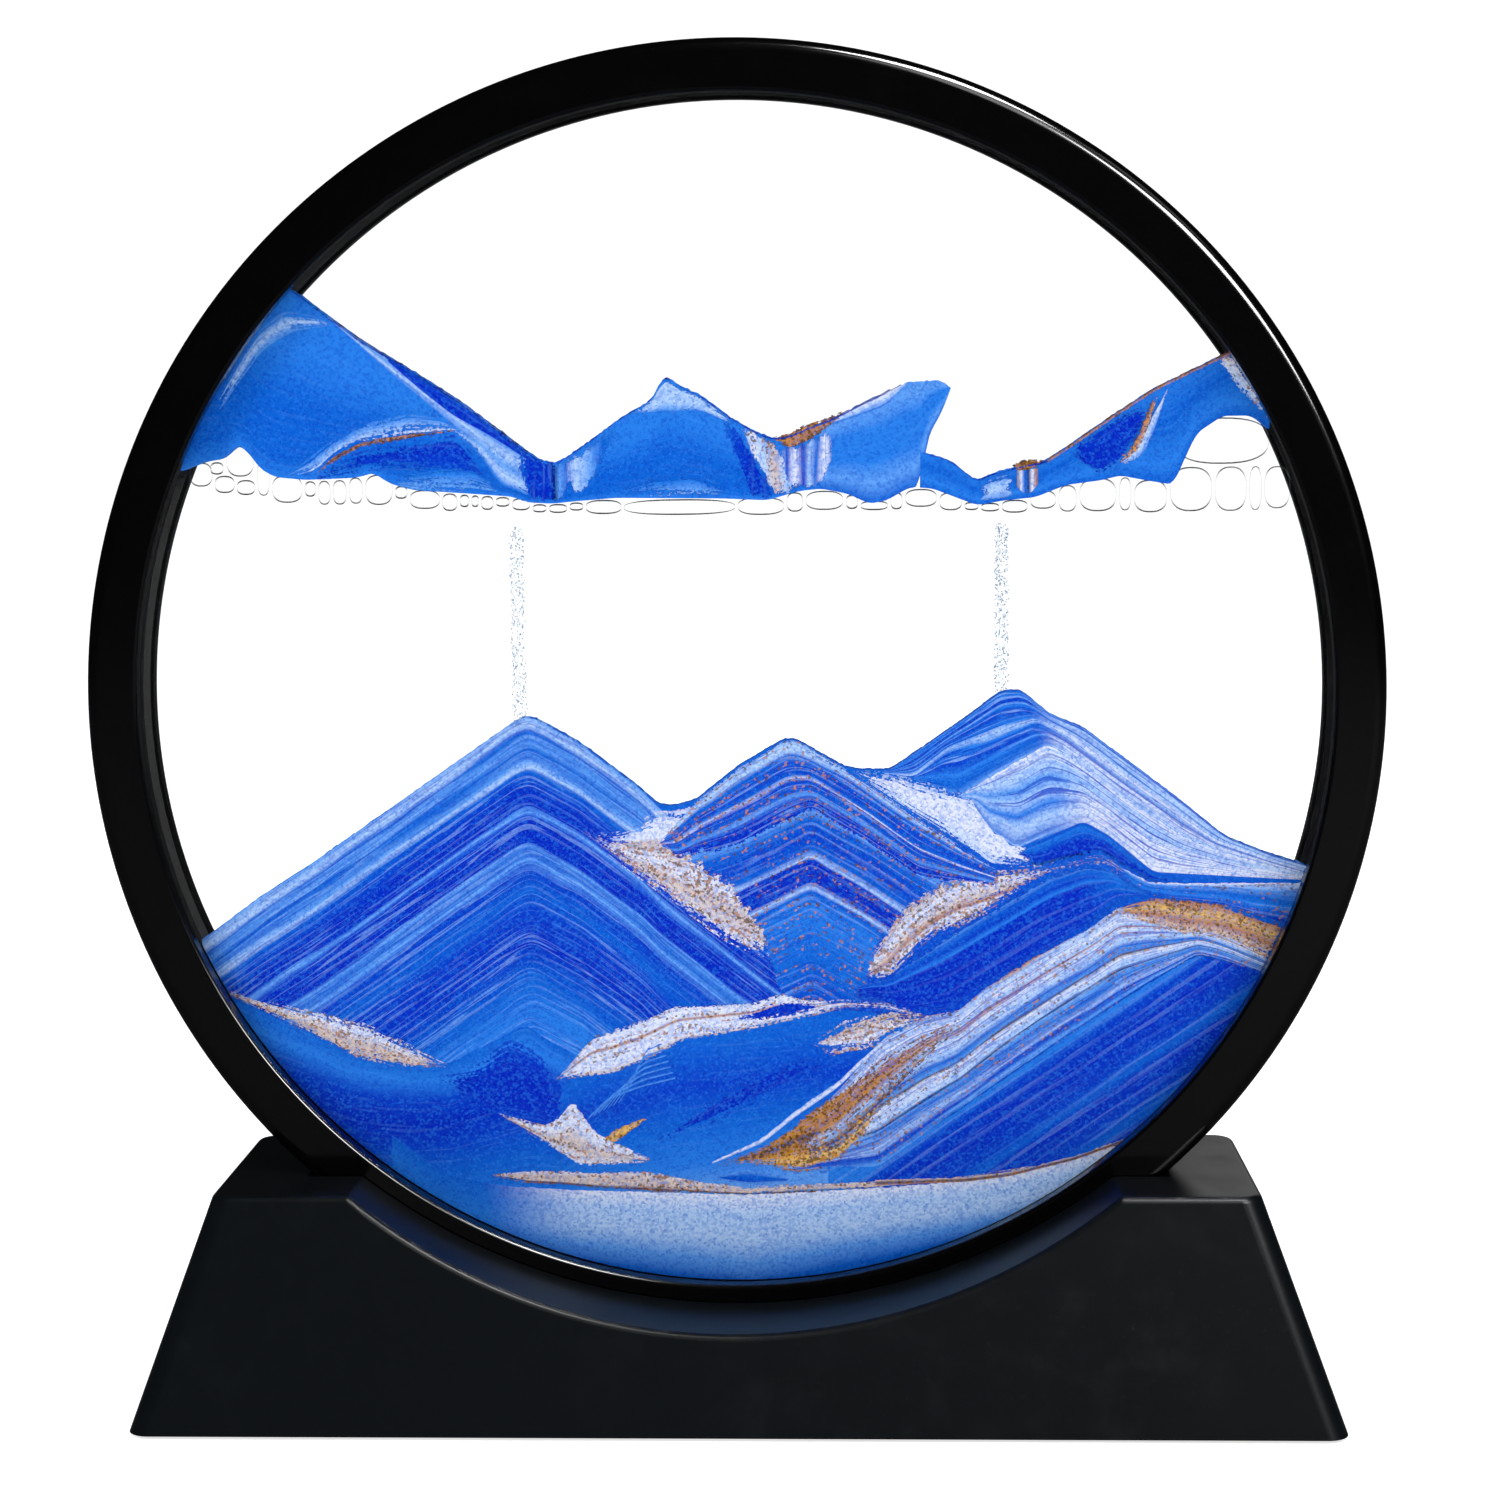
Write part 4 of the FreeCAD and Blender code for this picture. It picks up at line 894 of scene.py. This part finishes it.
def sandMaterial(name, layer):
    graph = Graph("sand." + name)
    place = graph.place()
    flow = graph.node("ShaderNodeAttribute", {"attribute_name": "flow"}, out="Vector")
    parts = graph.node("ShaderNodeSeparateXYZ", {}, (flow,))
    wobble, contrast = layer.get("streaks", (0.1, 0.15))
    offset = random.Random(name).uniform(-0.5, 0.5)

    def strands(length, width, detail):  # noise drawn out along the layer
        drawn = graph.node("ShaderNodeVectorMath", {"operation": "MULTIPLY_ADD"},
                           (flow, (width / length, 1.0, 0.0), (0.0, 0.0, offset)))
        return graph.noise(drawn, width, detail)

    sway = strands(22.0, 3.0, 2.0)
    strand = strands(9.0, 0.5, 2.0)
    thread = strands(5.0, 0.3, 1.0)
    bandPlace = (parts.outlet(1) * (1 / mm) + (sway - 0.5) * (wobble * 3)
                 + (strand - 0.5) * (wobble * 1.2)) * (1 / layer["span"])
    colour = graph.node("ShaderNodeValToRGB", {"stops": layer["bands"]}, (bandPlace,))
    if "farBands" in layer:
        far = graph.node("ShaderNodeValToRGB", {"stops": layer["farBands"]}, (bandPlace,))
        sideways = graph.node("ShaderNodeSeparateXYZ", {}, (place,))
        low, high = ((edge * mm) for edge in layer["turn"])
        colour = graph.mix(sideways.rise(low, high), colour, far)
    colour = graph.mix(strand.rise(0.56, 0.68) * (contrast * 0.45), colour, sandTints["sky"])
    colour = graph.mix(thread.rise(0.54, 0.66) * (contrast * 0.6), colour, sandTints["royal"])
    if "comb" in layer:
        pitch, strength = layer["comb"]
        phase = (bandPlace * layer["span"] + (strand - 0.5) * 0.9) * (2 * math.pi / pitch)
        wave = phase.maths("SINE", phase)
        here = sway.rise(0.36, 0.6) * strength
        bright = graph.mix(0.55, sandTints["sky"], sandTints["pale"])
        colour = graph.mix(wave.rise(0.6, 0.95) * here, colour, bright)
        colour = graph.mix((wave * -1).rise(0.6, 0.95) * here, colour, sandTints["royal"])
    grains = {"Vector": place, "Scale": 1 / (sandCut["grain"] * mm)}
    cells = graph.node("ShaderNodeTexVoronoi", {}, grains, out="Color")
    draws = graph.node("ShaderNodeSeparateColor", {}, (cells,))
    clump = graph.noise(place, sandCut["clump"], 3.0, 0.6)
    lighter = (draws * 0.7 + clump * 0.6).rise(0.6, 1.0) * 0.42
    colour = graph.mix(lighter, colour, sandTints["azure"])
    darker = (draws.outlet(1) * 0.7 + clump * 0.6).rise(0.62, 1.0) * 0.55
    colour = graph.mix(darker, colour, tint(150, 182, 232), "MULTIPLY")
    metallic = 0.0
    if "flecks" in layer:
        start = 1 - 0.6 * layer["flecks"]
        crowd = (strand - 0.5) * 1.5 + (clump - 0.5) * 0.5
        dots = (draws.outlet(2) + crowd).rise(start, start + 0.08)
        if "fleckFrom" in layer:
            dots = dots * bandPlace.rise(layer["fleckFrom"] - 0.06, layer["fleckFrom"] + 0.06)
        brown = graph.mix(draws.rise(0.3, 0.7), sandTints["umber"], sandTints["bronze"])
        if layer.get("glint"):
            brown = graph.mix(draws.rise(0.4, 0.8), sandTints["umber"], sandTints["gold"])
            metallic = dots * 0.5
        colour = graph.mix(dots * 0.8, colour, brown)
    alpha = 1.0
    if "ease" in layer:
        inward = parts.outlet(2) * (1 / mm / layer["ease"])
        alpha = (inward + (strand - 0.5) * 2.4 + (draws.outlet(1) - 0.5) * 0.6).rise(0.46, 0.54)
    normal = graph.bump(draws + clump, 0.25, 0.05)
    return graph.finish(graph.principled(Base_Color=colour, Roughness=draws * 0.2 + 0.6,
                                         Metallic=metallic, Alpha=alpha, Normal=normal, IOR=1.05))


def sandPiece(name, layers, first, sky):
    points, flows, faces, slots = [], [], [], []
    count = 0
    for slot, (layerName, layer) in enumerate(layers.items()):
        half = cellHalf - sandCut["film"] - sandCut["proud"] * (layerTotal - first - slot)
        for slabPoints, slabFlow, slabFaces in layerSlabs(layerName, layer, half, sky):
            points.append(slabPoints)
            flows.append(slabFlow)
            faces.append(slabFaces + count)
            slots += [slot] * len(slabFaces)
            count += len(slabPoints)
    materials = [sandMaterial(layerName, layer) for layerName, layer in layers.items()]
    piece = newPiece(name, np.concatenate(points), np.concatenate(faces), materials, slots)
    attribute = piece.data.attributes.new("flow", "FLOAT_VECTOR", "POINT")
    attribute.data.foreach_set("vector", np.concatenate(flows).astype(np.float32).ravel())
    return piece


sandNodes = dict(dune=("dune_sand", "blue_sand"), slope=("slope_sand", "deep_blue_sand"),
                 gold=("gold_sand", "gold_sand"), pale=("white_sand_bed", "white_sand"),
                 hanging=("hanging_sand", "blue_sand"))
layersBefore = 0
for group, (nodeName, slotName) in sandNodes.items():
    sky = None if group == "hanging" else skyline
    piece = sandPiece(group + "SandLayers", sandGroups[group], layersBefore, sky)
    layersBefore += len(sandGroups[group])
    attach(piece, "disc")
    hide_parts(nodeName)
    print("sand:", piece.name, len(piece.data.polygons), "faces")


# Falling grains

fallingFinish = dict(streams=((-29.2, 23.4, -3.6), (36.4, 23.4, 0.4)), spread=0.95, grain=0.095,
                     sizes=(0.6, 1.3), tall=1.3, depth=0.8, count=620,
                     dark=tint(120, 150, 186), light=tint(186, 204, 222))


def grainMaterial():
    graph = Graph("sand.falling")
    place = graph.place()
    shade = graph.noise(place, 0.6, 1.0)
    colour = graph.mix(shade.rise(0.42, 0.58), fallingFinish["dark"], fallingFinish["light"])
    return graph.finish(graph.principled(Base_Color=colour, Roughness=shade * 0.3 + 0.5,
                                         Alpha=shade * 0.3 + 0.7))


def fallingGrains():
    chance = random.Random(7)
    corners = np.array([(1, 0, 0), (0, 1, 0), (-1, 0, 0), (0, -1, 0), (0, 0, 1), (0, 0, -1)])
    sides = np.array([(0, 1, 4), (1, 2, 4), (2, 3, 4), (3, 0, 4), (1, 0, 5), (2, 1, 5), (3, 2, 5),
                      (0, 3, 5)])
    points, faces = [], []
    deep = fallingFinish["depth"] * cellHalf
    for x, top, foot in fallingFinish["streams"]:
        for grain in range(fallingFinish["count"]):
            middle = (x + chance.uniform(-1, 1) * fallingFinish["spread"],
                      chance.uniform(-deep, deep), chance.uniform(foot, top))
            size = fallingFinish["grain"] * chance.uniform(*fallingFinish["sizes"])
            faces.append(sides + 6 * len(points))
            points.append(corners * size * (1, 1, fallingFinish["tall"]) + middle)
    return newPiece("fallingGrains", np.concatenate(points) * mm, np.concatenate(faces),
                    [grainMaterial()])


grains = fallingGrains()
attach(grains, "disc")
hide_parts("falling_sand")
print("falling grains placed")


# The liquid, with its row of air bubbles

bubbleRow = dict(  # lowest holds each bubble's lowest point, and its top where sand isn't on it
    lowest=[(-72.1, 29.3), (-68.9, 28.4, 31), (-65.9, 28.1, 30.4), (-63.6, 28), (-60.2, 27),
            (-57.1, 27.8), (-55.3, 26.7), (-53.2, 26.7), (-51, 26.8), (-47.7, 26.6),
            (-44.8, 27.4), (-41.6, 26), (-37.9, 25.7), (-36, 26.2), (-34.6, 26.2),
            (-33.1, 25.8), (-31, 26.2), (-28.5, 25.7), (-26, 25.4), (-23.5, 25.3),
            (-21, 25.6), (-17.3, 25.1), (-7, 24.9), (4, 24.8), (8.6, 25.2), (13, 25.4),
            (16.3, 25.5), (19.3, 25.3), (22.3, 25.4), (25.6, 25.7), (29.6, 25.2), (32.4, 25.2),
            (34.9, 25), (38.2, 24.8), (42, 25.3), (45.3, 24.9), (49.6, 24.9), (53, 25),
            (56.4, 24.7), (61.8, 24.8, 31), (67.1, 24.8, 31), (70.4, 24.9, 31), (73.6, 25.1, 31)],
    above=[(-68.6, -64.8, 30.6, 34.9), (-70.8, -69, 30.9, 32.6), (59.6, 72.2, 31.1, 37.3)],
    ends=(-73.8, 75.2), film=0.12, half=1.38, squareness=2.5,
    rings=6, spokes=40, underSand=0.25, rimHalf=0.02, lean=0.6, narrowest=1.0)
# Bubble colours are painted light: upper is a pale painted highlight where a bubble's wall faces
# up, lower a dark painted shade where it faces down, and facing sets where the painted dark outline
# shows as the wall turns edge-on.
bubblePaintedShading = dict(upper=tint(150, 156, 164), lower=tint(44, 40, 42), facing=(0.42, 0.62))
liquidEdge = dict(play=0.1, facePlay=0.02, round=0.4, cut=0.12, spokes=160)


def bubbleSpans():  # each bubble's left, right, lowest and highest point
    lowest = bubbleRow["lowest"]
    xs = [bubble[0] for bubble in lowest]
    cuts = [bubbleRow["ends"][0]]
    for i in range(len(xs) - 1):
        before = xs[i] - cuts[-1]
        limit = min(xs[i + 1] - bubbleRow["narrowest"], xs[i] + before)
        cuts.append(max(xs[i] + before * bubbleRow["lean"], limit))
    cuts.append(bubbleRow["ends"][1])
    for (x, z, *given), left, right in zip(lowest, cuts, cuts[1:]):
        top = given[0] if given else max(np.interp(np.linspace(left, right, 7), *zip(*rowTop)))
        yield left + bubbleRow["film"], right - bubbleRow["film"], z, top - bubbleRow["underSand"]
    yield from bubbleRow["above"]


def bubbleSurface(left, right, low, high):
    rings, spokes = bubbleRow["rings"], bubbleRow["spokes"]
    wide, tall = (right - left) / 2, (high - low) / 2
    angles = np.linspace(0, 2 * math.pi, spokes, endpoint=False)
    power = 2 / bubbleRow["squareness"]
    outline = np.stack([np.sign(np.cos(angles)) * np.abs(np.cos(angles)) ** power * wide,
                        np.sign(np.sin(angles)) * np.abs(np.sin(angles)) ** power * tall])
    rim = min(wide, tall, bubbleRow["half"])
    points, faces = [], []
    shares = [math.sin(math.pi / 2 * ring / rings) for ring in range(1, rings + 1)]
    for side in (-1, 1):
        middle = len(points)
        points.append(((left + right) / 2, side * bubbleRow["half"], (low + high) / 2))
        for share in shares:
            inward = (1 - share) * min(wide, tall)
            depth = math.sqrt(max(0.0, 1 - max(0.0, 1 - inward / rim) ** 2)) * bubbleRow["half"]
            for x, z in outline.T * share:
                points.append((x + points[middle][0], side * max(depth, bubbleRow["rimHalf"]),
                               z + points[middle][2]))
        for spoke in range(spokes):
            after = (spoke + 1) % spokes
            fan = [middle, middle + 1 + spoke, middle + 1 + after]
            faces.append(fan if side < 0 else fan[::-1])
            for ring in range(rings - 1):
                inner, outer = middle + 1 + ring * spokes, middle + 1 + (ring + 1) * spokes
                quad = [inner + spoke, outer + spoke, outer + after, inner + after]
                faces.append(quad if side < 0 else quad[::-1])
    frontRim, backRim = rings * spokes - spokes + 1, len(points) - spokes
    for spoke in range(spokes):
        after = (spoke + 1) % spokes
        faces.append([frontRim + spoke, backRim + spoke, backRim + after, frontRim + after])
    return points, faces


def liquidDisc():  # the liquid's own outside, with the small round that its edge has
    spokes, rounding, cut = (liquidEdge[key] for key in ("spokes", "round", "cut"))
    radius, half = cellRadius - liquidEdge["play"], cellHalf - liquidEdge["facePlay"]
    profile = [(radius - rounding, -half), (radius - cut, -half + cut), (radius, -half + rounding),
               (radius, half - rounding), (radius - cut, half - cut), (radius - rounding, half)]
    points = [(r * math.cos(angle), y, r * math.sin(angle)) for r, y in profile
              for angle in np.linspace(0, 2 * math.pi, spokes, endpoint=False)]
    faces = [list(range(spokes)), list(range(len(points) - 1, len(points) - 1 - spokes, -1))]
    for ring in range(len(profile) - 1):
        for spoke in range(spokes):
            after = (spoke + 1) % spokes
            faces.append([ring * spokes + spoke, (ring + 1) * spokes + spoke,
                          (ring + 1) * spokes + after, ring * spokes + after])
    return points, faces


def bubbleMaterial():
    graph = Graph("bubbleSurface")
    place = graph.place()
    facing = graph.node("ShaderNodeLayerWeight", {}, {"Blend": 0.5}, out="Facing")
    upward = graph.node("ShaderNodeSeparateXYZ", {},
                        (graph.node("ShaderNodeTexCoord", out="Normal"),)).outlet(2)
    film = graph.noise(place, 2.2, 2.0)
    # Painted shade: walls that face down take the dark colour and nearly all of the outline, walls
    # that face up the pale painted highlight, standing in for the dark rim and lighter top that
    # refraction gives a real bubble; the outline is strongest where the wall is seen edge-on.
    paintedUnderShade = (upward * -1).rise(0.1, 0.8)
    colour = graph.mix(paintedUnderShade, bubblePaintedShading["upper"], bubblePaintedShading["lower"])
    edge = facing.rise(*bubblePaintedShading["facing"])
    alpha = edge * (paintedUnderShade * 0.9 + 0.1) + film.rise(0.5, 0.8) * 0.02
    return graph.finish(graph.principled(Base_Color=colour, Roughness=film * 0.1 + 0.04,
                                         Alpha=alpha))


def liquidPiece():
    points, faces = liquidDisc()
    slots = [0] * len(faces)
    for span in bubbleSpans():
        morePoints, moreFaces = bubbleSurface(*span)
        faces += [[index + len(points) for index in face] for face in moreFaces]
        points += morePoints
        slots += [1] * len(moreFaces)
    materials = [clearLiquid("clearLiquid"), bubbleMaterial()]
    return newPiece("liquidWithBubbles", np.array(points) * mm, faces, materials, slots, True)


liquid = liquidPiece()
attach(liquid, "disc")
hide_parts("liquid_fill")
print("liquid:", len(bubbleRow["lowest"]), "bubbles")


# Floor, light and camera

studio = dict(floorSize=6.0, floorGlow=0.7, skyCamera=1.1, skyDiffuse=0.42, skyGloss=0.012)


def floorMaterial():
    graph = Graph("paleFloor")
    mottle = graph.noise(graph.place(), 60.0, 3.0)
    colour = graph.mix(mottle, (0.90, 0.90, 0.90, 1), (0.93, 0.93, 0.93, 1))
    paths = graph.node("ShaderNodeLightPath", out="Is Glossy Ray")
    lit = graph.principled(Base_Color=colour, Roughness=0.9, Emission_Color=(1, 1, 1, 1),
                           Emission_Strength=studio["floorGlow"])
    dim = graph.principled(Base_Color=(0.02, 0.022, 0.026, 1), Roughness=1.0)
    return graph.finish(graph.node("ShaderNodeMixShader", {}, (paths, lit, dim)))


def buildFloor():
    half = studio["floorSize"] / 2
    corners = np.array([(-half, -half, 0), (half, -half, 0), (half, half, 0), (-half, half, 0)])
    floor = newPiece("paleFloor", corners, [[0, 1, 2, 3]], [floorMaterial()])
    floor.location = (0, 0, cadBox[0][2])
    floor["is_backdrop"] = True


def buildSky():  # as bright as the picture needs to the camera, dimmer to surfaces
    graph = Graph("studioSky", "worlds")
    paths = graph.node("ShaderNodeLightPath")
    onCamera = paths * (studio["skyCamera"] - studio["skyDiffuse"])
    onGloss = paths.outlet("Is Glossy Ray") * (studio["skyGloss"] - studio["skyDiffuse"])
    strength = onCamera + onGloss + studio["skyDiffuse"]
    light = graph.node("ShaderNodeBackground", {}, {"Color": (1, 1, 1, 1), "Strength": strength})
    scene.world = graph.finish(light, "ShaderNodeOutputWorld")


def softLight(name, place, aim, size, power, soft):  # soft lights colour, the others only shine
    light = bpy.data.lights.new(name, "AREA")
    light.shape = "RECTANGLE"
    light.size, light.size_y = size
    light.energy = power
    lamp = bpy.data.objects.new(name, light)
    lamp.location = place
    lamp.rotation_euler = (Vector(aim) - Vector(place)).to_track_quat("-Z", "Y").to_euler()
    lamp.visible_camera = False
    lamp.visible_diffuse = soft
    lamp.visible_glossy = not soft
    scene.collection.objects.link(lamp)


buildFloor()
buildSky()
for name, place, aim, size, power, soft in (
        ("frontLeftSoft", (-0.9, -1.1, 1.1), (0, 0, 0.09), (0.7, 0.7), 11.5, True),
        ("frontRightSoft", (1.0, -0.8, 1.2), (0, 0, 0.09), (0.7, 0.7), 10.0, True),
        ("ringGleam", (0.68, -1.05, 0.66), (0, 0, 0.09), (0.45, 0.45), 27.0, False),
        ("ringHaze", (0.4, -1.05, 0.88), (0, 0, 0.09), (0.5, 0.5), 3.5, False),
        ("edgeGleam", (0.3, -0.42, 1.0), (0.05, 0, 0.03), (0.3, 0.3), 18.0, False),
        ("cradleGleam", (1.0, -0.5, 1.25), (0, 0, 0.03), (0.4, 0.4), 0.6, False),
        ("backRightCard", (0.5, 1.5, 0.46), (0.06, 0, 0.03), (0.6, 0.3), 0.7, False)):
    softLight(name, place, aim, size, power, soft)

view = dict(place=(0.017, -0.385, 0.1325), yaw=-2.20, pitch=-6.39, roll=-0.56, lens=68.2,
            sensor=36.0, near=0.01)
camera = bpy.data.objects.new("camera", bpy.data.cameras.new("camera"))
camera.data.lens = view["lens"]
camera.data.sensor_width = view["sensor"]
camera.data.clip_start = view["near"]
yaw, pitch, roll = (math.radians(view[key]) for key in ("yaw", "pitch", "roll"))
turned = Matrix.Rotation(-yaw, 4, "Z") @ Matrix.Rotation(math.pi / 2 + pitch, 4, "X")
camera.matrix_world = (Matrix.Translation(view["place"]) @ turned
                       @ Matrix.Rotation(roll, 4, "Z"))
scene.collection.objects.link(camera)
scene.camera = camera
scene.view_settings.view_transform = "Standard"
scene.cycles.transparent_max_bounces = 48
print("floor, lights and camera set")

boxes = {"cad": cadBox, "visual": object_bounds()}
{key: [list(corner) for corner in box] for key, box in boxes.items()}
